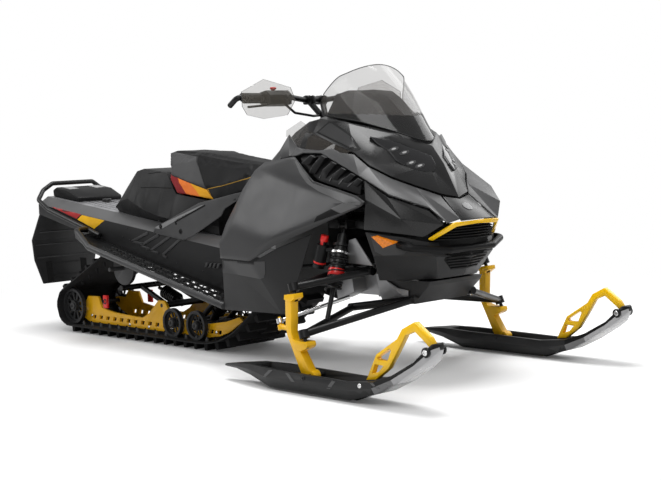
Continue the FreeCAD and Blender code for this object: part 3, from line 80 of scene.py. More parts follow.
class Side(Enum):
    """Hand of the machine; its value is one on the right and minus one on the left."""

    RIGHT = 1.0
    LEFT = -1.0

    @property
    def word(self) -> str:
        """Word for the side in the names of pieces."""
        return self.name.lower()

    @property
    def out(self) -> Vector:
        """Direction away from the middle."""
        return Vector((0, -self.value, 0))

    def at(self, x: float, y: float, z: float) -> Vector:
        """A place, with its distance from the middle as y, in millimetres; returned in metres."""
        return metres(x, -self.value * y, z)


class Grain(Enum):
    """Kinds of fine surface relief, each with its scale per metre and its depth in metres."""

    SMOOTH = (900, 0.00001)
    MOULDED = (1400, 0.00006)
    CAST = (700, 0.00012)
    RUBBER = (500, 0.00010)
    VINYL = (650, 0.00014)


class Axis(Enum):
    """Direction along which a flat outline is thrown onto a surface."""

    ALONG = 0
    ACROSS = 1
    DOWN = 2


class Graph:
    """Node tree of a material or world, with short ways to add nodes and to link them."""

    def __init__(self, owner: bpy.types.Material | bpy.types.World) -> None:
        """Switch the owner's nodes on."""
        owner.use_nodes = True
        self.nodes, self.links = owner.node_tree.nodes, owner.node_tree.links

    def feed(self, node: bpy.types.Node, inputs: dict[str | int, object]) -> None:
        """Set or link inputs of a node.

        Args:
            node: The node.
            inputs: Value, or output of another node, by the input's name or number.
        """
        for key, value in inputs.items():
            if isinstance(value, Socket):
                self.links.new(value, node.inputs[key])
            else:
                node.inputs[key].default_value = value

    def add(self, kind: str, inputs: dict[str | int, object] | None = None, **settings: str) -> bpy.types.Node:
        """Add a node.

        Args:
            kind: Its type without the prefix.
            inputs: What its inputs are fed with.
            settings: Its other settings, by name.

        Returns:
            The node.
        """
        node = self.nodes.new("ShaderNode" + kind)
        for name, value in settings.items():
            setattr(node, name, value)
        self.feed(node, inputs or {})
        return node

    def math(self, operation: str, *inputs: float | Socket) -> Socket:
        """Output of a new mathematical node."""
        return self.add("Math", dict(enumerate(inputs)), operation=operation).outputs["Value"]

    def noise(self, place: Socket, scale: float, detail: float = 2.0) -> Socket:
        """Output of a new noise over a place."""
        return self.add("TexNoise", {"Vector": place, "Scale": scale, "Detail": detail}).outputs["Fac"]

    def span(self, value: Socket, source: Place, target: Place, **settings: str) -> Socket:
        """Output of a new node that maps one range onto another."""
        ranges = {"From Min": source[0], "From Max": source[1], "To Min": target[0], "To Max": target[1]}
        return self.add("MapRange", {"Value": value, **ranges}, **settings).outputs["Result"]

    def ramp(self, factor: Socket, places: Place, low: Colour, high: Colour) -> Socket:
        """Add a colour ramp.

        Args:
            factor: What drives it.
            places: Where its two ends lie.
            low: Colour of the lower end.
            high: Colour of the upper end.

        Returns:
            Its colour.
        """
        node = self.add("ValToRGB", {"Fac": factor})
        for element, place, colour in zip(node.color_ramp.elements, places, (low, high)):
            element.position = place
            element.color = (*colour, 1)
        return node.outputs["Color"]


@dataclass(frozen=True)
class Surface:
    """What all finishes share."""

    name: str
    slot: str
    colour: Colour
    roughness: float

    def material(self) -> bpy.types.Material:
        """Build the material once and return it after that.

        Returns:
            The node material of this finish.
        """
        known = bpy.data.materials.get(self.name)
        if known:
            return known
        result = bpy.data.materials.new(self.name)
        graph = Graph(result)
        self.fill(graph, graph.nodes["Principled BSDF"], graph.add("TexCoord").outputs["Object"])
        return result

    def fill(self, graph: Graph, shader: bpy.types.Node, place: Socket) -> None:
        """Feed the shader, in the way of each kind of finish."""
        raise NotImplementedError


@dataclass(frozen=True)
class Finish(Surface):
    """One even finish with the mottling, scuffs and grain that a real surface shows."""

    metallic: float = 0.0
    coat: float = 0.0
    specular: float = 0.22
    grain: Grain = Grain.SMOOTH
    mottle: float = 0.12
    mottle_scale: float = 9.0
    scuff: float = 0.07

    def fill(self, graph: Graph, shader: bpy.types.Node, place: Socket) -> None:
        """Feed the shader with the tone, the change of roughness and the fine grain.

        Args:
            graph: Nodes of the material.
            shader: Its shader.
            place: Texture coordinates.
        """
        cloud = graph.noise(place, self.mottle_scale, CLOUD_DETAIL)
        rough = max(0.02, self.roughness - self.scuff), min(1.0, self.roughness + self.scuff)
        scale, depth = self.grain.value
        fine = graph.noise(place, scale)
        bump = graph.add("Bump", {"Height": fine, "Strength": BUMP_STRENGTH, "Distance": depth})
        graph.feed(shader, {
            "Metallic": self.metallic, "Coat Weight": self.coat, "Coat Roughness": COAT_ROUGHNESS,
            "Specular IOR Level": self.specular, "Base Color": self.tone(graph, place, cloud),
            "Roughness": graph.span(cloud, CLOUD_SPAN, rough), "Normal": bump.outputs["Normal"]})

    def tone(self, graph: Graph, place: Socket, cloud: Socket) -> Socket:
        """Ramp from the darker to the lighter tone of the colour.

        Args:
            graph: Nodes of the material.
            place: Texture coordinates; not used here.
            cloud: Noise that drives the tone.

        Returns:
            The colour.
        """
        low = [part * (1 - self.mottle) for part in self.colour]
        high = [min(1.0, part * (1 + self.mottle)) for part in self.colour]
        return graph.ramp(cloud, CLOUD_SPAN, low, high)


@dataclass(frozen=True)
class Block:
    """Coloured block on a cover, bounded by straight lines in X and Z, in metres.

    Each line is (a, b, c) and keeps the points where a x + b z is above c.
    """

    colour: Colour
    lines: tuple[tuple[float, float, float], ...]


@dataclass(frozen=True)
class CoverFinish(Finish):
    """Sewn cover with differently coloured blocks, each inside its own lines."""

    blocks: tuple[Block, ...] = ()

    def tone(self, graph: Graph, place: Socket, cloud: Socket) -> Socket:
        """Mix each block's colour over the cover's own tone.

        Args:
            graph: Nodes of the material.
            place: Texture coordinates.
            cloud: Noise that drives the tone.

        Returns:
            The colour.
        """
        result = super().tone(graph, place, cloud)
        split = graph.add("SeparateXYZ", {"Vector": place}).outputs
        for block in self.blocks:
            inside = None
            for across, up, limit in block.lines:
                height = graph.math("MULTIPLY_ADD", split["Z"], up, graph.math("MULTIPLY", split["X"], across))
                above = graph.math("GREATER_THAN", height, limit)
                inside = graph.math("MULTIPLY", inside, above) if inside else above
            mix = graph.add("Mix", {"Factor": inside, "A": result, "B": (*block.colour, 1)}, data_type="RGBA")
            result = mix.outputs["Result"]
        return result


@dataclass(frozen=True)
class Glazing(Surface):
    """Clear or tinted sheet plastic."""

    alpha: float

    def fill(self, graph: Graph, shader: bpy.types.Node, place: Socket) -> None:
        """Feed the shader with a faint haze.

        Args:
            graph: Nodes of the material.
            shader: Its shader.
            place: Texture coordinates.
        """
        haze = graph.noise(place, HAZE_SCALE)
        whole = (0, 1)
        graph.feed(shader, {
            "Alpha": self.alpha, "IOR": PLASTIC_IOR,
            "Base Color": graph.ramp(haze, whole, [part * 0.94 for part in self.colour], self.colour),
            "Roughness": graph.span(haze, whole, (self.roughness * 0.7, self.roughness * 1.3))})


TRACK_RUBBER = Finish("moulded track rubber", "track_rubber", (0.010, 0.010, 0.0105), 0.75, grain=Grain.RUBBER,
                      mottle=0.25)
WHEEL_BLACK = Finish("moulded wheel black", "wheel_plastic", (0.020, 0.020, 0.021), 0.5, grain=Grain.MOULDED)
RAIL_YELLOW = Finish("rail yellow", "yellow_paint", (0.68, 0.36, 0.005), 0.38, coat=0.15)
FORGED_YELLOW = Finish("forged yellow coat", "yellow_paint", (0.78, 0.43, 0.004), 0.34, coat=0.2)
TRIM_YELLOW = Finish("gloss yellow trim", "yellow_plastic", (0.85, 0.50, 0.006), 0.26, coat=0.25, mottle=0.04)
BLACK_PAINT = Finish("satin black coat", "black_paint", (0.004, 0.004, 0.0042), 0.34)
BLACK_MOULDED = Finish("fine textured black", "black_plastic", (0.0065, 0.0065, 0.0068), 0.44, specular=0.12,
                       grain=Grain.MOULDED)
# Lighter copy of the textured black, used on the flap and the belly: painted fill light for parts that sit in shade.
BLACK_WITH_PAINTED_FILL = Finish("low textured black", "black_plastic", (0.020, 0.020, 0.0205), 0.42, grain=Grain.MOULDED)
BLACK_GLOSS = Finish("polished black", "black_gloss", (0.009, 0.009, 0.0093), 0.28, specular=0.32)
BLACK_DEEP = Finish("deep matt black", "black_plastic", (0.004, 0.004, 0.004), 0.7, specular=0.15)
PANEL_GREY = Finish("charcoal panel", "panel_grey", (0.033, 0.033, 0.034), 0.36, mottle=0.05)
PANEL_EDGE = Finish("lighter panel edge", "panel_grey", (0.095, 0.095, 0.096), 0.40, mottle=0.05)
# Dark grey of the lower panels, the hatch and the flap ribs; on the louvre fins' upward faces it is painted light.
PANEL_DARK_AND_LIT_TOP = Finish("dark textured panel", "panel_dark", (0.012, 0.012, 0.0125), 0.46, grain=Grain.MOULDED)
# Mid grey of the lower sub panel and the belly facet; on the flap's creases the same grey is a painted highlight.
PANEL_MID_AND_HIGHLIGHT = Finish("mid grey sub panel", "panel_dark", (0.040, 0.040, 0.041), 0.46, grain=Grain.MOULDED)
# Grey of the hood's side bands; the same grey laid along the louvre fins' edges is a painted highlight.
BAND_GREY_AND_HIGHLIGHT = Finish("grey band", "band_grey", (0.052, 0.052, 0.053), 0.34, mottle=0.05)
TUNNEL_DARK = Finish("dark tunnel coat", "tunnel_paint", (0.010, 0.010, 0.0105), 0.44)
TUNNEL_BAND = Finish("grey tunnel band", "tunnel_paint", (0.078, 0.078, 0.079), 0.40)
TUNNEL_BARE = Finish("ribbed bare tunnel top", "tunnel_paint", (0.30, 0.30, 0.31), 0.38, metallic=0.7)
BRACKET_GREY = Finish("grey bracket coat", "cast_aluminium", (0.045, 0.045, 0.046), 0.40)
# Pale strip along the seat stays' upper edge: a painted highlight.
BRACKET_HIGHLIGHT = Finish("pale bracket edge", "cast_aluminium", (0.20, 0.20, 0.202), 0.38, metallic=0.2)
CAST_METAL = Finish("as cast aluminium", "cast_aluminium", (0.26, 0.26, 0.265), 0.42, metallic=0.85, grain=Grain.CAST)
BRIGHT_STEEL = Finish("bright plated steel", "bright_steel", (0.62, 0.62, 0.62), 0.20, metallic=1.0)
BOLT_DARK = Finish("dark bolt head", "black_paint", (0.020, 0.020, 0.021), 0.32, metallic=0.6)
ENGINE_METAL = Finish("engine block metal", "engine_block", (0.10, 0.10, 0.10), 0.5, metallic=0.7, grain=Grain.CAST)
GRIP_RUBBER = Finish("grip rubber", "grip_rubber", (0.009, 0.009, 0.009), 0.66, grain=Grain.RUBBER)
STITCH = Finish("dull yellow stitching", "seat_cover", (0.30, 0.17, 0.02), 0.7)
PIPING = Finish("dark seam piping", "seat_cover", (0.006, 0.006, 0.006), 0.6)
TUBE_GREY = Finish("grey tube coat", "black_paint", (0.036, 0.036, 0.037), 0.40)
TUBE_DARK = Finish("dark tube coat", "black_paint", (0.010, 0.010, 0.0103), 0.32)
SKI_BLACK = Finish("moulded ski black", "black_plastic", (0.004, 0.004, 0.0042), 0.38, grain=Grain.MOULDED)
SKI_FLANK = Finish("dark grey ski flank", "black_plastic", (0.017, 0.017, 0.0173), 0.40)
SKI_MARK = Finish("grey ski chamfer", "black_plastic", (0.075, 0.075, 0.076), 0.42)
SKI_WORN = Finish("grey worn ski base", "black_plastic", (0.11, 0.11, 0.112), 0.30, specular=0.4)
SKI_PALE = Finish("pale worn ski base", "black_plastic", (0.30, 0.30, 0.305), 0.25, specular=0.5)
SIGNAL_RED = Finish("signal red", "lamp_red", (0.62, 0.012, 0.010), 0.32, coat=0.3)
LAMP_RED = Finish("red rear lens", "lamp_red", (0.30, 0.010, 0.010), 0.12, coat=0.5)
PATCH_RED = Finish("dark red patch", "tunnel_paint", (0.36, 0.022, 0.022), 0.36)
PATCH_YELLOW = Finish("yellow patch", "tunnel_paint", (0.85, 0.47, 0.010), 0.36)
REFLEX_ORANGE = Finish("orange reflector", "yellow_plastic", (0.72, 0.20, 0.006), 0.22, coat=0.4, mottle=0.2,
                       mottle_scale=160.0)
DISC_PALE = Finish("bare grey plate", "bright_steel", (0.16, 0.16, 0.162), 0.34, metallic=0.4)
PLATE_PALE = Finish("bare pale plate", "bright_steel", (0.26, 0.26, 0.26), 0.40)
SCREEN = Glazing("clear screen", "clear_screen", (0.11, 0.10, 0.09), 0.05, 0.20)
SCREEN_TINT = Glazing("smoked screen foot", "clear_screen", (0.010, 0.010, 0.010), 0.08, 0.80)
SMOKED = Glazing("smoked pane", "smoked_glass", (0.020, 0.015, 0.010), 0.10, 0.88)
LENS = Glazing("dark lamp lens", "smoked_glass", (0.008, 0.008, 0.009), 0.06, 0.96)
GUARD = Glazing("translucent guard", "guard_plastic", (0.22, 0.20, 0.17), 0.14, 0.22)


SEAT_VINYL = CoverFinish(
    "seat vinyl", "seat_cover", (0.0055, 0.0055, 0.0058), 0.50, specular=0.08, grain=Grain.VINYL, blocks=(
        Block((0.022, 0.022, 0.0225), ((0.2148, -1.0, -0.7265), (0.57, 0.42, 0.2240))),
        Block((0.052, 0.052, 0.053), ((0.246, 1.0, 0.669), (-1.43, -1.13, -0.6068), (-0.12, -1.0, -0.809))),
        Block((0.235, 0.024, 0.027), ((-0.246, -1.0, -0.669), (0.142, 1.0, 0.6307), (-0.85, -0.51, -0.0974))),
        Block((0.82, 0.205, 0.040), ((-0.246, -1.0, -0.669), (0.142, 1.0, 0.6307), (0.85, 0.51, 0.0974),
                                     (-0.73, -0.58, -0.2485))),
        Block((0.84, 0.405, 0.024), ((-0.246, -1.0, -0.669), (0.142, 1.0, 0.6307), (0.73, 0.58, 0.2485),
                                     (-0.57, -0.42, -0.2240))),
    ))

# Name, finish, thickness in millimetres and outline of a shape laid on a piece.
Laid = tuple[str, Finish, float, Outline]


def body_name(node: str) -> str:
    """Name of the body that carries a frame node."""
    for body, names in frame["record"]["behaviour"]["bodies"].items():
        if node in names:
            return body
    raise KeyError(node)


def dress(finish: Surface, *nodes: str) -> None:
    """Give frame nodes that show as they are their finish."""
    for name in nodes:
        for slot in frame["nodes"][name].material_slots:
            slot.material = finish.material()


class Assembly:
    """Steps shared by the sub-assemblies: making forms, softening edges and handing pieces over."""

    @staticmethod
    def clear_selection() -> None:
        """Leave nothing selected and nothing in edit mode."""
        if bpy.context.object and bpy.context.object.mode != "OBJECT":
            bpy.ops.object.mode_set(mode="OBJECT")
        bpy.ops.object.select_all(action="DESELECT")

    @classmethod
    def pick(cls, *pieces: Piece) -> None:
        """Select the pieces alone and make the first active."""
        cls.clear_selection()
        for piece in pieces:
            piece.select_set(True)
        bpy.context.view_layer.objects.active = pieces[0]

    @staticmethod
    @contextmanager
    def editing() -> Iterator[None]:
        """Edit the active piece, with all of it selected at first."""
        bpy.ops.object.mode_set(mode="EDIT")
        bpy.ops.mesh.select_all(action="SELECT")
        yield
        bpy.ops.object.mode_set(mode="OBJECT")

    @staticmethod
    def placed() -> Piece:
        """The piece just made, with its place and turn brought into its mesh."""
        bpy.ops.object.transform_apply(location=True, rotation=True, scale=True)
        return bpy.context.object

    @classmethod
    def modify(cls, piece: Piece, kind: str, **settings: object) -> None:
        """Add one modifier with its settings and apply it.

        Args:
            piece: The piece.
            kind: Type of the modifier.
            settings: Values of the modifier, by name.
        """
        cls.pick(piece)
        modifier = piece.modifiers.new(kind.lower(), kind)
        for name, value in settings.items():
            setattr(modifier, name, value)
        bpy.ops.object.modifier_apply(modifier=modifier.name)

    @classmethod
    def mend(cls, piece: Piece) -> None:
        """Merge doubles and turn every face outwards."""
        cls.pick(piece)
        with cls.editing():
            bpy.ops.mesh.remove_doubles(threshold=MERGE_GAP)
            bpy.ops.mesh.normals_make_consistent(inside=False)

    @classmethod
    def hand_over(cls, piece: Piece, name: str, finish: Surface, edge: float = 0.0, angle: float = 30.0,
                  body: str = "chassis") -> Piece:
        """Name, round, dress and attach a finished piece.

        Args:
            piece: The piece.
            name: Its name.
            finish: Its finish.
            edge: Width of the rounded edges in metres.
            angle: Angle in degrees above which an edge is rounded and stays crisp.
            body: Body that carries it.

        Returns:
            The piece.
        """
        cls.pick(piece)
        piece.name = piece.data.name = name
        cls.placed()
        if edge > 0:
            cls.modify(piece, "BEVEL", width=edge, segments=2, limit_method="ANGLE",
                       angle_limit=math.radians(angle), use_clamp_overlap=True)
        cls.pick(piece)
        bpy.ops.object.shade_smooth_by_angle(angle=math.radians(max(angle, CRISP_ANGLE)))
        piece.data.materials.clear()
        piece.data.materials.append(finish.material())
        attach(piece, body)
        return piece

    @classmethod
    def copied(cls, node: str, name: str) -> Piece:
        """Copy a frame node's form and pick the copy.

        Args:
            node: The frame node.
            name: Name of the copy.

        Returns:
            The copy.
        """
        piece = bpy.data.objects.new(name, frame["nodes"][node].data.copy())
        bpy.context.scene.collection.objects.link(piece)
        cls.pick(piece)
        return piece

    @staticmethod
    def flatten() -> None:
        """Merge the doubles and join the flat faces of what is edited."""
        bpy.ops.mesh.remove_doubles(threshold=COPY_MERGE_GAP)
        bpy.ops.mesh.dissolve_limited(angle_limit=math.radians(FLAT_ANGLE))

    @classmethod
    def softened(cls, node: str, name: str, edge: float, finish: Surface, angle: float = 24.0) -> Piece:
        """Copy a frame node's form, merge it and round its edges.

        Args:
            node: Frame node that the piece stands for.
            name: Name of the new piece.
            edge: Width of the rounded edge in metres.
            finish: Finish of the piece.
            angle: Angle in degrees above which an edge is rounded.

        Returns:
            The new piece, which rides on the node's body.
        """
        piece = cls.copied(node, name)
        with cls.editing():
            cls.flatten()
        cls.hand_over(piece, name, finish, edge, angle, body_name(node))
        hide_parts(node)
        return piece

    @staticmethod
    def paint(piece: Piece, finish: Surface, test: Callable[[Vector, Vector], bool]) -> None:
        """Give the faces that pass a test another finish.

        Args:
            piece: The piece.
            finish: Finish of those faces.
            test: Takes a face's middle in millimetres and its normal.
        """
        piece.data.materials.append(finish.material())
        index = len(piece.data.materials) - 1
        for face in piece.data.polygons:
            if test(face.center / MM, face.normal):
                face.material_index = index

    @classmethod
    def flat_form(cls, corners: list[Vector]) -> Piece:
        """Flat face whose corners are brought to their places one by one.

        Args:
            corners: Places in metres, in order.

        Returns:
            The face as an object.
        """
        cls.clear_selection()
        bpy.ops.mesh.primitive_circle_add(vertices=len(corners), radius=0.01, fill_type="NGON")
        piece = bpy.context.object
        with cls.editing():
            for i, corner in enumerate(corners):
                bpy.ops.mesh.select_all(action="DESELECT")
                mesh = bmesh.from_edit_mesh(piece.data)
                mesh.verts.ensure_lookup_table()
                mesh.verts[i].select = True
                move = corner - mesh.verts[i].co
                bmesh.update_edit_mesh(piece.data)
                bpy.ops.transform.translate(value=move)
        return piece

    @classmethod
    def prism(cls, corners: list[Vector], depth: Vector) -> Piece:
        """Straight-sided body.

        Args:
            corners: Its outline in metres.
            depth: How far that is drawn out, in metres.

        Returns:
            The body, without a finish.
        """
        piece = cls.flat_form(corners)
        with cls.editing():
            bpy.ops.mesh.extrude_region_move(TRANSFORM_OT_translate={"value": depth})
        cls.mend(piece)
        return piece

    @classmethod
    def plate(cls, name: str, corners: list[Vector], depth: Vector, finish: Surface, edge: float = 0.0008) -> Piece:
        """Plate with a straight-sided outline, in metres."""
        return cls.hand_over(cls.prism(corners, depth), name, finish, edge)

    @classmethod
    def slab(cls, name: str, side: Side, low: Point, high: Point, finish: Surface, edge: float,
             body: str = "chassis") -> Piece:
        """Block with rounded edges.

        Args:
            name: Its name.
            side: Side of the machine.
            low: Lowest and innermost corner in millimetres, its distance from the middle as y.
            high: Highest and outermost corner.
            finish: Its finish.
            edge: Width of the rounded edges in metres.
            body: Body that carries it.

        Returns:
            The block.
        """
        first, second = side.at(*low), side.at(*high)
        middle, size = (first + second) / 2, second - first
        size.y = abs(size.y)
        cls.clear_selection()
        bpy.ops.mesh.primitive_cube_add(size=1.0, location=middle)
        piece = bpy.context.object
        with cls.editing():
            bpy.ops.transform.resize(value=size, center_override=middle)
        return cls.hand_over(piece, name, finish, edge, body=body)

    @staticmethod
    def stand(piece: Piece, start: Vector, aim: Vector) -> None:
        """Stand an upright piece on a place, turned towards a direction."""
        piece.matrix_world = Matrix.Translation(start) @ aim.to_track_quat("Z", "Y").to_matrix().to_4x4()

    @classmethod
    def turned(cls, name: str, start: Vector, aim: Vector, profile: list[Place] | Outline, finish: Surface,
               sides: int = 24, body: str = "chassis") -> Piece:
        """Round piece with a stepped profile along a line.

        Args:
            name: Its name.
            start: Where the profile starts, in metres.
            aim: Direction that the profile runs in.
            profile: Pairs of distance along the line and radius, in millimetres.
            finish: Its finish.
            sides: Sides of the round.
            body: Body that carries it.

        Returns:
            The piece.
        """
        cls.clear_selection()
        distance, radius = profile[0]
        bpy.ops.mesh.primitive_circle_add(vertices=sides, radius=radius * MM, fill_type="NGON",
                                          location=(0, 0, distance * MM))
        piece = cls.placed()
        with cls.editing():
            for next_distance, next_radius in profile[1:]:
                rise = (next_distance - distance) * MM
                bpy.ops.mesh.extrude_region_move(TRANSFORM_OT_translate={"value": (0, 0, rise)})
                share = next_radius / radius
                bpy.ops.transform.resize(value=(share, share, 1), center_override=(0, 0, next_distance * MM))
                distance, radius = next_distance, next_radius
        cls.mend(piece)
        cls.stand(piece, start, aim)
        return cls.hand_over(piece, name, finish, body=body)

    @classmethod
    def bolt(cls, name: str, place: Vector, aim: Vector, radius: float, finish: Finish,
             body: str = "chassis") -> Piece:
        """Domed bolt head with a hexagon socket, its radius in millimetres, standing on a surface."""
        shares = ((-0.6, 1), (0.10, 1.25), (0.30, 1.15), (0.5, 0.80), (0.5, 0.45), (0.15, 0.40))
        return cls.turned(name, place, aim, [(radius * rise, radius * out) for rise, out in shares], finish, 12, body)

    @classmethod
    def inlay(cls, name: str, outline: list[Place] | Outline, target: Piece, finish: Surface,
              side: Side = Side.RIGHT, thickness: float = 0.8, axis: Axis = Axis.ACROSS, step: float = 14.0,
              body: str = "chassis") -> Piece:
        """Thin shape that lies on another piece's surface and follows its folds.

        Args:
            name: Its name.
            outline: Corners in the two other axes, in millimetres: Y and Z, X and Z, or X and Y.
            target: Piece that it lies on.
            finish: Its finish.
            side: Side that a throw across comes from; the others come from the front or the top.
            thickness: Thickness in millimetres.
            axis: Direction of the throw.
            step: Distance between the folds that it can take, in millimetres.
            body: Body that carries it.

        Returns:
            The shape.
        """
        index = axis.value
        first, second = [number for number in range(3) if number != index]
        start = -side.value * THROW_START if axis is Axis.ACROSS else THROW_START
        corners = []
        for one, other in outline:
            place = [start, start, start]
            place[first], place[second] = one, other
            corners.append(metres(*place))
        piece = cls.flat_form(corners)
        with cls.editing():
            for number, values in ((first, [p[0] for p in outline]), (second, [p[1] for p in outline])):
                normal = Vector([float(number == i) for i in range(3)])
                cut = min(values) + step
                while cut < max(values):
                    bpy.ops.mesh.select_all(action="SELECT")
                    bpy.ops.mesh.bisect(plane_co=normal * cut * MM, plane_no=normal)
                    cut += step
        cls.modify(piece, "SHRINKWRAP", wrap_method="PROJECT", target=target, use_project_x=index == 0,
                   use_project_y=index == 1, use_project_z=index == 2, use_positive_direction=start < 0,
                   use_negative_direction=start > 0)
        cls.drop_missed(piece, index, start)
        facing = sum(face.normal[index] * face.area for face in piece.data.polygons)
        if facing * start < 0:
            piece.data.flip_normals()
        cls.modify(piece, "SOLIDIFY", thickness=(thickness + INLAY_GAP) * MM, offset=1.0)
        return cls.hand_over(piece, name, finish, body=body)

    @classmethod
    def drop_missed(cls, piece: Piece, index: int, start: float) -> None:
        """Remove the points that met no surface, and turn the faces one way.

        Args:
            piece: The thrown shape.
            index: Number of the axis of the throw.
            start: Where the throw started on it, in millimetres.
        """
        cls.pick(piece)
        with cls.editing():
            bpy.ops.mesh.select_all(action="DESELECT")
            missed = 0
            for vert in bmesh.from_edit_mesh(piece.data).verts:
                vert.select = abs(vert.co[index] / MM - start) < 1.0
                missed += vert.select
            bmesh.update_edit_mesh(piece.data)
            if missed:
                LOG.warning("%d points of a shape met nothing", missed)
                bpy.ops.mesh.delete(type="VERT")
            bpy.ops.mesh.select_all(action="SELECT")
            bpy.ops.mesh.normals_make_consistent(inside=False)

    @classmethod
    def line(cls, name: str, points: list[Place] | Outline, width: float, target: Piece, side: Side,
             finish: Finish, rise: float = 1.0) -> Piece:
        """Narrow raised line along points on a piece's side.

        Args:
            name: Its name.
            points: Places in X and Z, in millimetres.
            width: Its width in millimetres.
            target: Piece that it lies on.
            side: Side of the machine.
            finish: Its finish.
            rise: Its thickness in millimetres.

        Returns:
            The line.
        """
        upper, lower = [], []
        for i, (x, z) in enumerate(points):
            before, after = points[max(i - 1, 0)], points[min(i + 1, len(points) - 1)]
            run = Vector((after[0] - before[0], after[1] - before[1])).normalized()
            across = Vector((-run.y, run.x)) * width / 2
            upper.append((x + across.x, z + across.y))
            lower.append((x - across.x, z - across.y))
        return cls.inlay(name, upper + lower[::-1], target, finish, side, rise, step=9.0)

    @classmethod
    def lay(cls, shapes: tuple[Laid, ...], target: Piece, side: Side) -> None:
        """Lay shapes on a side of a piece, each with its name, finish, thickness and outline."""
        for name, finish, thickness, outline in shapes:
            cls.inlay(f"{name}_{side.word}", outline, target, finish, side, thickness)

    @classmethod
    def joined(cls, name: str, pieces: list[Piece]) -> Piece:
        """Join pieces that share a body into one.

        Args:
            name: Name of the whole.
            pieces: The pieces; the first one's finish and body stay.

        Returns:
            The whole.
        """
        cls.pick(*pieces)
        bpy.ops.object.join()
        whole = bpy.context.object
        whole.name = whole.data.name = name
        return whole

    @classmethod
    def carve(cls, piece: Piece, outline: Outline, half: float) -> None:
        """Take a straight-sided body that runs across the machine out of a piece.

        Args:
            piece: The piece.
            outline: Corners of that body in X and Z, in millimetres.
            half: How far it reaches to each side.
        """
        tool = cls.prism([metres(x, -half, z) for x, z in outline], metres(0, 2 * half, 0))
        cls.modify(piece, "BOOLEAN", operation="DIFFERENCE", object=tool, solver="EXACT")
        bpy.data.objects.remove(tool, do_unlink=True)

    @staticmethod
    def copy_of(piece: Piece, name: str, move: Matrix, slot: str) -> Piece:
        """Copy a piece with its own mesh to another place.

        Args:
            piece: Piece to copy.
            name: Name of the copy.
            move: Move in metres, applied to the mesh.
            slot: Not used.

        Returns:
            The copy.
        """
        copy = bpy.data.objects.new(name, piece.data.copy())
        bpy.context.scene.collection.objects.link(copy)
        copy.data.transform(move)
        if move.determinant() < 0:
            copy.data.flip_normals()
        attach(copy, "chassis")
        return copy


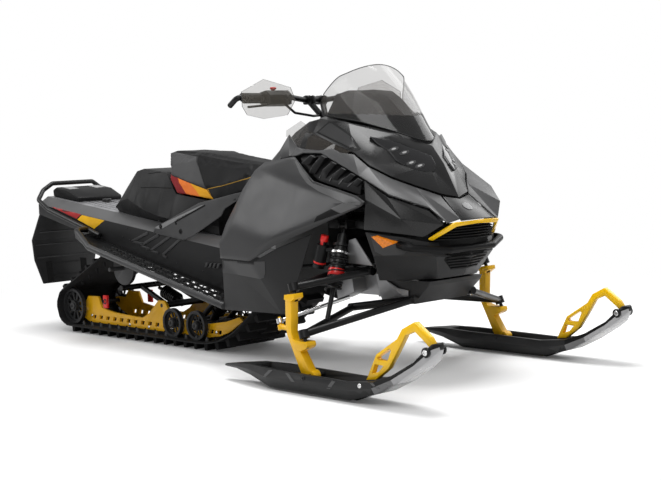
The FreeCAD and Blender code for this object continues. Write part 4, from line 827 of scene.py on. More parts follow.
@dataclass
class Studio:
    """Pale floor, soft lamps and the camera at the photograph's angle."""

    azimuth: float = 46.04
    elevation: float = 4.42
    roll: float = -2.02
    distance: float = 5.334
    lens: float = 71.84
    target: Point = (0.453, 0, 0.488)
    sensor: float = 36.0
    floor_size: float = 80.0
    floor_z: float = -0.0005
    floor_colour: Colour = (0.90, 0.90, 0.90)
    near_glow: float = 0.05
    glow_start: float = 1.1
    glow_end: float = 3.2
    world_gloss: Place = (0.38, 0.22)
    lamp_aim: Point = (0.3, 0, 0.5)
    lamps: tuple[tuple[str, Point, float, float], ...] = field(default_factory=lambda: (
        ("key softbox", (3.0, -3.6, 4.0), 3.0, 108.0),
        ("rear softbox", (-3.6, -2.6, 3.4), 2.6, 80.0),
        ("left softbox", (1.0, 4.4, 3.2), 3.4, 95.0),
        ("top softbox", (0.2, 0.3, 4.6), 2.8, 235.0),
    ))

    def build(self) -> None:
        """Make the floor, the lamps, the world and the camera."""
        self.floor()
        self.world()
        for name, place, size, power in self.lamps:
            self.lamp(name, place, size, power)
        self.camera()

    def floor(self) -> None:
        """Make the plain floor, white far out, which keeps the object's shadow."""
        Assembly.clear_selection()
        bpy.ops.mesh.primitive_plane_add(size=self.floor_size, location=(0, 0, self.floor_z))
        floor = Assembly.placed()
        floor.name = "floor"
        material = bpy.data.materials.new("pale floor")
        graph = Graph(material)
        shader = graph.nodes["Principled BSDF"]
        graph.feed(shader, {"Base Color": (*self.floor_colour, 1), "Roughness": 0.9, "Specular IOR Level": 0.0})
        glow = graph.add("Emission", {"Color": WHITE}).outputs["Emission"]
        place = graph.add("TexCoord").outputs["Object"]
        reach = graph.add("VectorMath", {0: place}, operation="LENGTH").outputs["Value"]
        spread = graph.span(reach, (self.glow_start, self.glow_end), (self.near_glow, 1.0),
                            interpolation_type="SMOOTHSTEP")
        share = graph.math("MULTIPLY", graph.add("LightPath").outputs["Is Camera Ray"], spread)
        blend = graph.add("MixShader", {"Fac": share, 1: shader.outputs["BSDF"], 2: glow})
        graph.feed(graph.nodes["Material Output"], {"Surface": blend.outputs["Shader"]})
        floor.data.materials.append(material)

    def world(self) -> None:
        """Make the pale surround, white where the camera and glass see it."""
        world = bpy.data.worlds.new("studio")
        bpy.context.scene.world = world
        graph = Graph(world)
        ray = graph.add("LightPath").outputs
        seen = graph.math("MAXIMUM", ray["Is Camera Ray"], ray["Is Transmission Ray"])
        gloss = graph.math("MULTIPLY_ADD", ray["Is Glossy Ray"], *self.world_gloss)
        graph.feed(graph.nodes["Background"], {"Color": WHITE, "Strength": graph.math("MAXIMUM", seen, gloss)})

    def lamp(self, name: str, place: Point, size: float, power: float) -> None:
        """Make one soft lamp that looks at the machine.

        Args:
            name: Name of the lamp.
            place: Where it stands.
            size: Side of its square.
            power: Power in watts.
        """
        data = bpy.data.lights.new(name, "AREA")
        data.shape = "SQUARE"
        data.size = size
        data.energy = power
        lamp = bpy.data.objects.new(name, data)
        bpy.context.scene.collection.objects.link(lamp)
        lamp.location = place
        aim = Vector(self.lamp_aim) - Vector(place)
        lamp.rotation_euler = aim.to_track_quat("-Z", "Y").to_euler()

    def camera(self) -> None:
        """Make the camera and aim it as the photograph was taken."""
        azimuth, elevation, roll = [math.radians(v) for v in (self.azimuth, self.elevation, self.roll)]
        back = Vector((math.sin(azimuth) * math.cos(elevation), -math.cos(azimuth) * math.cos(elevation),
                       math.sin(elevation)))
        level = Vector((math.cos(azimuth), math.sin(azimuth), 0))
        upright = back.cross(level)
        right = math.cos(roll) * level + math.sin(roll) * upright
        up = math.cos(roll) * upright - math.sin(roll) * level
        data = bpy.data.cameras.new("camera")
        data.sensor_width = self.sensor
        data.lens = self.lens
        data.clip_end = 100.0
        camera = bpy.data.objects.new("camera", data)
        bpy.context.scene.collection.objects.link(camera)
        turn = Matrix((right, up, back)).transposed().to_4x4()
        turn.translation = Vector(self.target) + back * self.distance
        camera.matrix_world = turn
        bpy.context.scene.camera = camera


@dataclass
class TrackDrive(Assembly):
    """Track, its wheels with their caps, its inner clips and the drive axle."""

    wheels: Outline = ((-1211, 125), (-424, 102.3), (-254, 102.3))
    wheel_face: float = 157.0
    cap: Outline = ((-4, 17), (4, 17), (6.5, 15), (7.5, 11), (7.5, 8.5), (5, 8))
    cap_height: float = 0.005
    cap_bolt: float = 6.0
    carrier: Place = (-825, 326)
    carrier_disc: float = 79.0
    clip_start: float = -1130.0
    clip_pitch: float = 73.0
    clip_count: int = 14
    clip_y: float = 155.0
    clip: Outline = ((-11, 36.5), (11, 36.5), (3, 58), (-3, 58))
    clip_depth: float = 0.006

    def build(self) -> None:
        """Dress the track, cap the wheels and set the clips."""
        dress(TRACK_RUBBER, "track")
        dress(WHEEL_BLACK, "rear_idler_wheels", "bogie_wheels")
        dress(BRIGHT_STEEL, "drive_axle")
        x, z = self.carrier
        discs = self.softened("carrier_wheels", "carrier_discs", 0.0008, TUBE_GREY)
        self.paint(discs, WHEEL_BLACK,
                   lambda middle, normal: math.hypot(middle.x - x, middle.z - z) > self.carrier_disc)
        self.caps()
        self.clips()

    def caps(self) -> None:
        """Domed caps with a bolt on the outer face of each wheel."""
        pieces = []
        for x, z in self.wheels:
            for side in Side:
                start = side.at(x, self.wheel_face, z)
                top = start + side.out * self.cap_height
                pieces.append(self.turned("cap", start, side.out, self.cap, TUBE_GREY))
                pieces.append(self.bolt("cap_bolt", top, side.out, self.cap_bolt, BOLT_DARK))
        self.joined("wheel_caps", pieces)

    def clips(self) -> None:
        """Folded steel clips that the rails run on, one on each bar of the ground run."""
        corners = [metres(self.clip_start + x, -self.clip_y, z) for x, z in self.clip]
        first = self.plate("track_clip", corners, Vector((0, self.clip_depth, 0)), BRACKET_GREY)
        moves = [Matrix.Translation((i * self.clip_pitch * MM, 0, 0)) for i in range(self.clip_count)]
        moves += [Matrix.Diagonal((1, -1, 1, 1)) @ move for move in moves]
        copies = [self.copy_of(first, "track_clip_copy", move, "cast_aluminium") for move in moves[1:]]
        self.joined("track_clips", [first] + copies)


@dataclass
class SkidFrame(Assembly):
    """Yellow rails, slide shoes, swing arms and the two shocks with their coil springs."""

    rail_y: float = 124.0
    adjuster_low: Point = (-985, 124, 128)
    adjuster_high: Point = (-951, 136, 190)
    adjuster_bore: Point = (-968, 133, 160)
    bore: Outline = ((0, 13), (4.5, 13), (5.5, 12), (5.5, 8), (2, 8))
    bolt_radius: float = 6.0
    bolts: Outline = ((-1100, 84), (-790, 62), (-640, 62), (-470, 66), (-330, 95), (-150, 78))

    def build(self) -> None:
        """Soften the rails, dress the rest, and set the red adjuster blocks and the bolt heads."""
        self.softened("rails", "slide_rails", 0.0012, RAIL_YELLOW, 40.0)
        dress(BLACK_MOULDED, "slide_shoes")
        dress(BLACK_PAINT, "skid_arms", "skid_shocks")
        for side in Side:
            self.slab("adjuster_" + side.word, side, self.adjuster_low, self.adjuster_high, SIGNAL_RED, 0.003)
            self.turned("adjuster_bore_" + side.word, side.at(*self.adjuster_bore), side.out, self.bore, BOLT_DARK, 20)
        self.joined("rail_bolts", [
            self.bolt("rail_bolt", side.at(x, self.rail_y, z), side.out, self.bolt_radius, BRIGHT_STEEL)
            for side in Side for x, z in self.bolts])


@dataclass
class Tunnel(Assembly):
    """Painted tunnel with its grey shoulder band, coloured rear patches and pressed strokes."""

    slope: float = 0.12
    top_z: float = 492.0
    edge_z: float = 456.0
    half: float = 205.0
    ribs: tuple[tuple[Place, Place, Place], ...] = (
        ((-503, 507), (-626, 464), (-538, 457)),
        ((-423, 500), (-560, 448), (-492, 435)),
        ((-342, 495), (-488, 428), (-429, 420)),
        ((-261, 490), (-400, 412), (-372, 400)),
    )
    rivets: Outline = ((-662, 523), (-696, 483), (-646, 469), (-419, 560), (-120, 353), (-103, 387), (-900, 470),
                       (-300, 380), (-520, 428), (60, 340))
    rivet: Outline = ((0, 4.5), (1.2, 4.2), (2, 3), (2.4, 1.2))
    rib_widths: Place = (13, 9)
    rib_height: float = 0.005
    foot_height: float = 0.016
    rib_half: float = 6.0
    patches: tuple[Laid, ...] = (
        ("rear_patch_red", PATCH_RED, 0.8, ((-1281, 612), (-1030, 580), (-1070, 558))),
        ("rear_patch_yellow", PATCH_YELLOW, 0.8, ((-1021, 577), (-838, 555), (-925, 514), (-1062, 555))),
    )
    foot_starts: tuple[float, ...] = (-96.0, -70.0, -44.0, -18.0)
    foot_rib: Outline = ((0, 372), (14, 372), (26, 392), (12, 392))
    top_rib_ends: Place = (-1150, -850)
    top_rib_pitch: float = 35.0

    def build(self) -> None:
        """Soften the tunnel, paint its bands and set what is pressed into it."""
        tunnel = self.softened("tunnel", "tunnel_shell", 0.0010, TUNNEL_DARK, 20.0)
        self.paint(tunnel, TUNNEL_BAND, self.on_band)
        self.paint(tunnel, TUNNEL_BARE, self.on_top)
        for side in Side:
            self.lay(self.patches, tunnel, side)
            self.strokes(side)
            self.rivet_row(side)
            self.footpiece(side)
        self.top_ribs()

    def on_band(self, middle: Vector, normal: Vector) -> bool:
        """Whether a face lies on the sloped shoulder between wall and top."""
        return 0.2 < abs(normal.y) < 0.97 and normal.z > 0.2 and middle.z > self.edge_z - self.slope * middle.x - 4

    def on_top(self, middle: Vector, normal: Vector) -> bool:
        """Whether a face lies on the flat top."""
        return normal.z > 0.9 and middle.z > self.top_z - self.slope * middle.x - 6

    def strokes(self, side: Side) -> None:
        """Slanted strokes pressed outward, each with its short tail.

        Args:
            side: Side of the machine.
        """
        pieces = []
        for top, low, tail in self.ribs:
            for first, last, width in zip((top, low), (low, tail), self.rib_widths):
                start, end = Vector(first), Vector(last)
                run = end - start
                across = Vector((-run.y, run.x)).normalized() * width / 2
                corners = [side.at(place.x, self.half - 1.0, place.y)
                           for place in (start + across, end + across, end - across, start - across)]
                pieces.append(self.plate("stroke", corners, side.out * self.rib_height, TUBE_GREY, 0.0018))
        self.joined("pressed_strokes_" + side.word, pieces)

    def rivet_row(self, side: Side) -> None:
        """Small domed rivets on the wall."""
        self.joined("wall_rivets_" + side.word, [
            self.turned("rivet", side.at(x, self.half - 0.5, z), side.out, self.rivet, BOLT_DARK, 10)
            for x, z in self.rivets])

    def footpiece(self, side: Side) -> None:
        """Ribbed foot support on the wall just behind the side panel."""
        self.joined("foot_support_" + side.word, [
            self.plate("foot_rib", [side.at(start + x, self.half - 2.0, z) for x, z in self.foot_rib],
                       side.out * self.foot_height, TUBE_GREY, 0.002) for start in self.foot_starts])

    def top_ribs(self) -> None:
        """Long pressed ribs on the open part of the tunnel's top, behind the seat."""
        (x0, z0), (x1, z1) = [(x, self.top_z - self.slope * x - 1) for x in self.top_rib_ends]
        pieces = []
        for i in range(-3, 4):
            near, far = i * self.top_rib_pitch - self.rib_half, i * self.top_rib_pitch + self.rib_half
            corners = [metres(x0, near, z0), metres(x1, near, z1), metres(x1, far, z1), metres(x0, far, z0)]
            pieces.append(self.plate("top_rib", corners, Vector((0, 0, self.rib_height)), TUNNEL_BARE, 0.0022))
        self.joined("top_ribs", pieces)


@dataclass
class Boards(Assembly):
    """Perforated running boards with their grey outer tubes and gripping teeth."""

    slope: float = 0.215
    top_z: float = 278.0
    tube_from: float = 333.5
    teeth: int = 36
    tooth_pitch: float = 25.0
    tooth_start: Place = (150, 246)
    tooth_end: float = -740.0
    tooth: Outline = ((-6, -1), (6, -1), (3, 7), (-3, 7))
    tooth_depth: float = 0.002
    rows: Outline = ((0, 0), (42, 12.5), (82, 0))

    def build(self) -> None:
        """Soften the boards, paint the tubes and set the teeth."""
        boards = self.softened("running_boards", "foot_boards", 0.0006, BLACK_PAINT, 40.0)
        self.paint(boards, TUBE_GREY, lambda middle, normal: abs(middle.y) > self.tube_from)
        for side in Side:
            self.tooth_rows(side)

    def tooth_rows(self, side: Side) -> None:
        """Rows of small upright teeth between the holes.

        Args:
            side: Side of the machine.
        """
        x, y = self.tooth_start
        z = self.top_z - self.slope * x
        first = self.plate("tooth", [side.at(x + along, y, z + up) for along, up in self.tooth],
                           Vector((0, self.tooth_depth, 0)), TUBE_GREY, 0.0)
        runs = [(-i * self.tooth_pitch - behind, out) for out, behind in self.rows for i in range(self.teeth)]
        moves = [side.at(run, out, -self.slope * run) for run, out in runs[1:] if x + run >= self.tooth_end]
        copies = [self.copy_of(first, "tooth_copy", Matrix.Translation(move), "black_paint") for move in moves]
        self.joined("board_teeth_" + side.word, [first] + copies)


@dataclass
class Rear(Assembly):
    """Grab bar, snow flap, tail deck with its bare plates, and the tail lamp."""

    creases: tuple[tuple[float, float, float], ...] = ((478, 170, 5), (412, 178, 5), (346, 172, 7))
    recess: Outline = ((84, 226), (118, 226), (120, 326), (86, 330))
    flap_ribs: Place = (250, 312)
    plates: tuple[tuple[str, float, float], ...] = (("right", -104.0, -48.0), ("left", 48.0, 104.0))

    def build(self) -> None:
        """Soften and dress the rear pieces."""
        self.softened("grab_bar", "rear_bar", 0.0, TUBE_DARK)
        self.flap()
        self.deck()
        self.softened("tail_lamp", "tail_lens", 0.002, LAMP_RED)

    def flap(self) -> None:
        """Moulded flap with painted highlights on its creases and two upright recesses painted as deep black shade."""
        # The flap's black is lightened as painted fill light, because the flap sits in shade.
        flap = self.softened("snow_flap", "rubber_flap", 0.0035, BLACK_WITH_PAINTED_FILL, 18.0)
        # Lighter mid grey strips along the creases: painted highlights.
        for i, (z, half, height) in enumerate(self.creases):
            outline = [(-half, z), (half, z), (half - 6, z + height), (6 - half, z + height)]
            self.inlay(f"flap_crease_{i + 1}", outline, flap, PANEL_MID_AND_HIGHLIGHT, thickness=3.0, axis=Axis.ALONG, step=40.0)
        # The recesses are not cut: deep black sheets laid on the flap stand in for their shade, as painted shade.
        for side in Side:
            outline = [(-side.value * y, z) for y, z in self.recess]
            self.inlay("flap_recess_" + side.word, outline, flap, BLACK_DEEP, thickness=1.0, axis=Axis.ALONG,
                       step=30.0)
        for i, z in enumerate(self.flap_ribs):
            self.inlay(f"flap_rib_{i + 1}", [(-78, z), (78, z), (76, z + 6), (-76, z + 6)], flap, PANEL_DARK_AND_LIT_TOP,
                       thickness=3.0, axis=Axis.ALONG, step=40.0)

    def deck(self) -> None:
        """Sloped deck with two bare plates."""
        deck = self.softened("tail_deck", "rear_deck", 0.006, BLACK_MOULDED, 16.0)
        for word, y0, y1 in self.plates:
            self.inlay("deck_plate_" + word, [(-1346, y0), (-1268, y0), (-1276, y1), (-1340, y1)], deck, PLATE_PALE,
                       thickness=1.2, axis=Axis.DOWN)


@dataclass
class Seat(Assembly):
    """Sewn seat, blown up by cloth simulation, with its seams, stitching and moulded base."""

    voxel: float = 0.006
    pressure: float = 3.5
    frames: int = 20
    cap: float = 0.007
    start_inset: float = 0.004
    padding: float = 0.85
    sewn: tuple[tuple[str, float, Finish, Outline], ...] = (
        ("seat_seam", 3.4, PIPING, ((-243, 838), (-205, 795), (-165, 746), (-128, 699))),
        ("seat_edge_seam", 3.0, PIPING, ((-390, 764), (-335, 751), (-238, 728), (-128, 699))),
        ("seat_low_seam", 3.0, PIPING, ((-128, 699), (-104, 672), (-82, 650))),
        ("stitched_line", 3.2, STITCH, ((-124, 701), (-40, 713), (40, 730), (110, 746), (166, 762))),
    )
    base_lines: tuple[tuple[str, Outline], ...] = (
        ("base_lid", ((-592, 768), (-480, 775), (-374, 777))),
        # The lid line is a joint; the deep black line along the fold is painted crease shade.
        ("base_fold", ((-622, 705), (-500, 706), (-350, 701))),
    )
    on_stays: tuple[Laid, ...] = (
        # Deep black sheets on the slot and the opening stand in for the shade seen through them: painted shade.
        ("stay_slot", BLACK_DEEP, 0.8, ((-300, 565), (-84, 638), (-80, 632), (-286, 559), (-280, 550), (-290, 547))),
        ("stay_insert", BLACK_DEEP, 0.8, ((96, 655), (146, 676), (128, 640), (92, 630))),
        # Pale strip along the upper edge: painted highlight.
        ("stay_strip", BRACKET_HIGHLIGHT, 0.8, ((-452, 530), (-395, 548), (-110, 634), (-84, 638), (-398, 526))),
    )
    stay_bolts: Outline = ((-398, 537), (-258, 519))
    stay_face: float = 207.0
    stay_bolt: Place = (0.004, 7)
    washer: Outline = ((0, 13), (4, 13), (5.5, 11.5), (5.5, 8.5), (4, 8))

    def build(self) -> None:
        """Make the pad with its seams, the faceted base with its lid joint and a painted shade line along its fold, and
        the brackets.
        """
        pad = self.pad()
        for side in Side:
            for name, width, finish, points in self.sewn:
                self.line(f"{name}_{side.word}", points, width, pad, side, finish)
        base = self.softened("seat_base", "storage_base", 0.0035, BLACK_MOULDED, 22.0)
        for side in Side:
            for name, points in self.base_lines:
                self.line(f"{name}_{side.word}", points, 3.0, base, side, BLACK_DEEP)
        self.brackets()

    def pad(self) -> Piece:
        """Sewn pad in the space of the frame's seat.

        Returns:
            The pad.
        """
        piece = self.copied("seat", "seat_pad")
        self.mend(piece)
        self.modify(piece, "REMESH", mode="VOXEL", voxel_size=self.voxel)
        self.modify(piece, "SMOOTH", factor=0.5, iterations=6)
        self.modify(piece, "DISPLACE", strength=-self.start_inset, mid_level=0.0)
        self.swell(piece)
        self.modify(piece, "SUBSURF", levels=1, render_levels=1)
        self.hand_over(piece, "seat_pad", SEAT_VINYL, 0.0, 180.0)
        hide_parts("seat")
        return piece

    def swell(self, piece: Piece) -> None:
        """Blow the pad up a little, and hold each point near where it started.

        Args:
            piece: The pad.
        """
        start = [vert.co.copy() for vert in piece.data.vertices]
        cloth = piece.modifiers.new("cloth", "CLOTH")
        stiffness = {"tension_stiffness": 25, "compression_stiffness": 25, "shear_stiffness": 15,
                     "bending_stiffness": 4.0}
        for name, value in {"quality": 5, "mass": 0.3, **stiffness, "use_pressure": True,
                            "uniform_pressure_force": self.pressure}.items():
            setattr(cloth.settings, name, value)
        cloth.settings.effector_weights.gravity = 0.0
        cloth.point_cache.frame_start = 1
        cloth.point_cache.frame_end = self.frames
        for step in range(1, self.frames + 1):
            bpy.context.scene.frame_set(step)
        self.pick(piece)
        bpy.ops.object.modifier_apply(modifier=cloth.name)
        for vert, old in zip(piece.data.vertices, start):
            move = vert.co - old
            if move.length > self.cap:
                vert.co = old + move.normalized() * self.cap
        bpy.context.scene.frame_set(1)

    def brackets(self) -> None:
        """Grey diagonal brackets with bolts, a pale painted highlight along the upper edge, and deep black sheets on
        the slot and the opening as painted shade.
        """
        plates = self.softened("seat_brackets", "seat_stays", 0.0014, BRACKET_GREY, 20.0)
        height, radius = self.stay_bolt
        for side in Side:
            self.lay(self.on_stays, plates, side)
            for i, (x, z) in enumerate(self.stay_bolts):
                start = side.at(x, self.stay_face, z)
                self.turned(f"stay_washer_{side.word}_{i + 1}", start, side.out, self.washer, BOLT_DARK, 20)
                self.bolt(f"stay_bolt_{side.word}_{i + 1}", start + side.out * height, side.out, radius, BLACK_DEEP)


@dataclass
class SidePanels(Assembly):
    """Large faceted side panels with their light front strip and dark lower inserts."""

    cuts: int = 7
    rounds: int = 22
    rim: float = 50.0
    crisp_reach: float = 0.030
    on_panel: tuple[Laid, ...] = (
        ("panel_strip", PANEL_EDGE, 1.6, (
            (590, 819), (642, 779), (713, 733), (936, 684), (968, 670), (976, 665), (968, 658), (933, 655), (874, 671),
            (741, 705), (672, 733), (622, 772), (582, 815))),
        ("panel_insert", BLACK_MOULDED, 1.0, ((757, 592), (768, 614), (835, 641), (876, 626))),
        ("panel_patch", PANEL_EDGE, 1.2, ((834, 643), (900, 668), (954, 652), (880, 627))),
    )
    lower_patch: Outline = ((200, 425), (478, 436), (470, 392), (458, 371), (440, 366), (200, 378))

    def build(self) -> None:
        """Soften the panels and lay the shapes on them."""
        lower = self.softened("lower_panels", "lower_side_panels", 0.0035, PANEL_DARK_AND_LIT_TOP, 14.0)
        for side in Side:
            panel = self.moulded("side_panel_" + side.word, "side_cover_" + side.word, 0.0015, PANEL_GREY)
            self.lay(self.on_panel, panel, side)
            self.inlay("lower_patch_" + side.word, self.lower_patch, lower, PANEL_MID_AND_HIGHLIGHT, side, 1.0)
        self.softened("console", "centre_console", 0.003, BLACK_MOULDED, 22.0)

    def moulded(self, node: str, name: str, edge: float, finish: Finish) -> Piece:
        """Copy a frame node's form and soften its shallow creases like a moulded panel's.

        Args:
            node: Frame node that the piece stands for.
            name: Name of the new piece.
            edge: Width of the rounded rim in metres.
            finish: Finish of the piece.

        Returns:
            The new piece, which rides on the node's body.
        """
        piece = self.copied(node, name)
        with self.editing():
            self.flatten()
            bpy.ops.mesh.quads_convert_to_tris()
            sharp = [(e.verts[0].co.copy(), e.verts[1].co.copy()) for e in bmesh.from_edit_mesh(piece.data).edges
                     if e.calc_face_angle(0.0) > math.radians(self.rim)]
            bpy.ops.mesh.subdivide(number_cuts=self.cuts)
        group = piece.vertex_groups.new(name="soft")
        for vert in piece.data.vertices:
            gap = min(self.distance_to(vert.co, a, b) for a, b in sharp)
            group.add([vert.index], min(1.0, gap / self.crisp_reach), "REPLACE")
        self.modify(piece, "SMOOTH", factor=0.5, iterations=self.rounds, vertex_group="soft")
        self.hand_over(piece, name, finish, edge, self.rim, body_name(node))
        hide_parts(node)
        return piece

    @staticmethod
    def distance_to(place: Vector, start: Vector, end: Vector) -> float:
        """Distance of a place from a straight edge, in metres."""
        run = end - start
        share = max(0.0, min(1.0, (place - start).dot(run) / max(run.length_squared, 1e-12)))
        return (place - start - run * share).length


@dataclass
class Hood(Assembly):
    """Hood with lamps, hatch, bands, louvres and dash, under the clear screen."""

    # Paths of the grey lines laid along the louvre fins: painted highlights on the fins' upper edges.
    fins: tuple[Outline, ...] = (
        ((626, 808), (641, 816), (676, 836)), ((671, 774), (689, 799), (737, 834)),
        ((726, 752), (743, 783), (790, 810)), ((781, 740), (796, 766), (840, 788)),
        ((830, 729), (846, 746), (888, 767)), ((876, 720), (891, 732), (922, 749)),
    )
    reflectors: Outline = ((957, 850), (984, 836), (1014, 798), (1036, 786))
    on_hood: tuple[Laid, ...] = (
        ("hatch_joint", BLACK_DEEP, 0.6, ((655, 921), (690, 962), (706, 960), (814, 910), (880, 855), (872, 848),
                                          (852, 850))),
        ("hatch", PANEL_DARK_AND_LIT_TOP, 1.6, ((667, 922), (694, 954), (705, 953), (810, 905), (868, 857), (853, 857))),
        ("hatch_latch", TUBE_GREY, 3.5, ((835, 868), (850, 871), (857, 862), (842, 859))),
    )
    rings: tuple[tuple[str, float, Finish, float], ...] = (("rim", 9.0, TUBE_GREY, 1.0),
                                                           ("bulb", 4.2, BRIGHT_STEEL, 2.2))
    fin_width: float = 4.0
    fin_edge: float = 1.4
    fin_rise: float = 0.55
    fin_outer: float = 285.0
    sheet: float = 0.0028
    tint_top: Place = (968, 0.10)

    def build(self) -> None:
        """Make every piece of the hood."""
        hood = self.softened("hood", "upper_hood", 0.0025, BLACK_GLOSS, 12.0)
        self.softened("hood_bands", "side_bands", 0.002, BAND_GREY_AND_HIGHLIGHT, 12.0)
        fins = self.softened("louvres", "louvre_fins", 0.0015, BLACK_MOULDED, 25.0)
        # Upward-facing faces of the outer fins get a lighter tone than the fins: painted light on their tops.
        self.paint(fins, PANEL_DARK_AND_LIT_TOP, lambda middle, normal: normal.z > self.fin_rise and abs(middle.y) > self.fin_outer)
        self.softened("dash_hood", "dash_cover", 0.004, BLACK_MOULDED, 14.0)
        for side in Side:
            self.lay(self.on_hood, hood, side)
            # Grey lines along each fin: painted highlights.
            self.joined("fin_edges_" + side.word, [
                self.line("fin_edge", points, self.fin_width, fins, side, BAND_GREY_AND_HIGHLIGHT, self.fin_edge)
                for points in self.fins])
        self.lamps()
        dress(SMOKED, "side_windows")
        dress(SCREEN, "side_deflectors")
        self.screen()

    def lamps(self) -> None:
        """Dark lenses over small silver reflectors."""
        lens = self.softened("headlamps", "lamp_lenses", 0.002, LENS, 20.0)
        turns = [math.pi * i / 6 for i in range(12)]
        for side in Side:
            for i, (x, z) in enumerate(self.reflectors):
                for label, radius, finish, rise in self.rings:
                    ring = [(x + radius * math.cos(turn), z + radius * math.sin(turn)) for turn in turns]
                    self.inlay(f"lamp_{label}_{side.word}_{i + 1}", ring, lens, finish, side, rise, step=30.0)

    def screen(self) -> None:
        """Clear screen as one smooth sheet between its rows of points, with a smoked foot."""
        rows = self.screen_rows()
        count = len(rows[0])
        self.clear_selection()
        bpy.ops.mesh.primitive_grid_add(x_subdivisions=count - 1, y_subdivisions=len(rows) - 1, size=0.1)
        piece = self.placed()
        for i, vert in enumerate(piece.data.vertices):
            vert.co = rows[i // count][i % count]
        self.mend(piece)
        self.modify(piece, "SUBSURF", levels=3, render_levels=3)
        self.modify(piece, "SOLIDIFY", thickness=self.sheet, offset=0.0)
        self.hand_over(piece, "screen_sheet", SCREEN, 0.0, 50.0)
        low, rise = self.tint_top
        self.paint(piece, SCREEN_TINT, lambda middle, normal: middle.z < low + rise * abs(middle.y))
        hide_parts("windshield")
        edge = [row[0] for row in rows[:-1]] + rows[-1] + [row[-1] for row in rows[-2::-1]]
        self.hose("screen_rim", edge, 1.6, BLACK_MOULDED)
        self.hose("screen_foot", rows[0], 2.6, BLACK_MOULDED)

    @classmethod
    def hose(cls, name: str, points: list[Vector], radius: float, finish: Finish) -> Piece:
        """Smooth round tube along points.

        Args:
            name: Its name.
            points: Places in metres.
            radius: Radius in millimetres.
            finish: Its finish.

        Returns:
            The tube.
        """
        cls.clear_selection()
        bpy.ops.mesh.primitive_plane_add(size=0.002, location=points[0])
        with cls.editing():
            bpy.ops.mesh.merge(type="CENTER")
            for first, second in zip(points, points[1:]):
                bpy.ops.mesh.extrude_region_move(TRANSFORM_OT_translate={"value": second - first})
        bpy.ops.object.convert(target="CURVE")
        curve = bpy.context.object
        bpy.ops.object.mode_set(mode="EDIT")
        bpy.ops.curve.select_all(action="SELECT")
        bpy.ops.curve.spline_type_set(type="NURBS")
        bpy.ops.object.mode_set(mode="OBJECT")
        for spline in curve.data.splines:
            spline.order_u = 3
            spline.use_endpoint_u = True
            spline.resolution_u = 8
        curve.data.dimensions = "3D"
        curve.data.bevel_depth = radius * MM
        curve.data.bevel_resolution = 3
        curve.data.use_fill_caps = True
        bpy.ops.object.convert(target="MESH")
        piece = bpy.context.object
        cls.mend(piece)
        return cls.hand_over(piece, name, finish)

    @staticmethod
    def screen_rows() -> list[list[Vector]]:
        """Rows of points of the screen, from foot to top and from the right to the left.

        Returns:
            The rows, in metres.
        """
        halves = (
            ((672, 222, 985), (735, 205, 972), (800, 176, 960), (868, 140, 936), (930, 96, 912), (985, 52, 884),
             (1004, 0, 872)),
            ((666, 226, 1018), (730, 204, 1012), (788, 174, 1003), (842, 137, 989), (892, 95, 971), (938, 50, 950),
             (956, 0, 942)),
            ((664, 226, 1052), (716, 202, 1053), (765, 170, 1052), (815, 133, 1044), (862, 92, 1030), (898, 48, 1017),
             (910, 0, 1012)),
            ((688, 207, 1092), (722, 184, 1096), (758, 153, 1100), (790, 117, 1100), (815, 80, 1099), (835, 42, 1096),
             (843, 0, 1095)),
            ((716, 184, 1128), (727, 158, 1138), (738, 128, 1150), (746, 96, 1160), (752, 66, 1167), (756, 32, 1172),
             (758, 0, 1174)),
        )
        rows = []
        for half in halves:
            right = [metres(x, -y, z) for x, y, z in half]
            left = [metres(x, y, z) for x, y, z in half[-2::-1]]
            rows.append(right + left)
        return rows


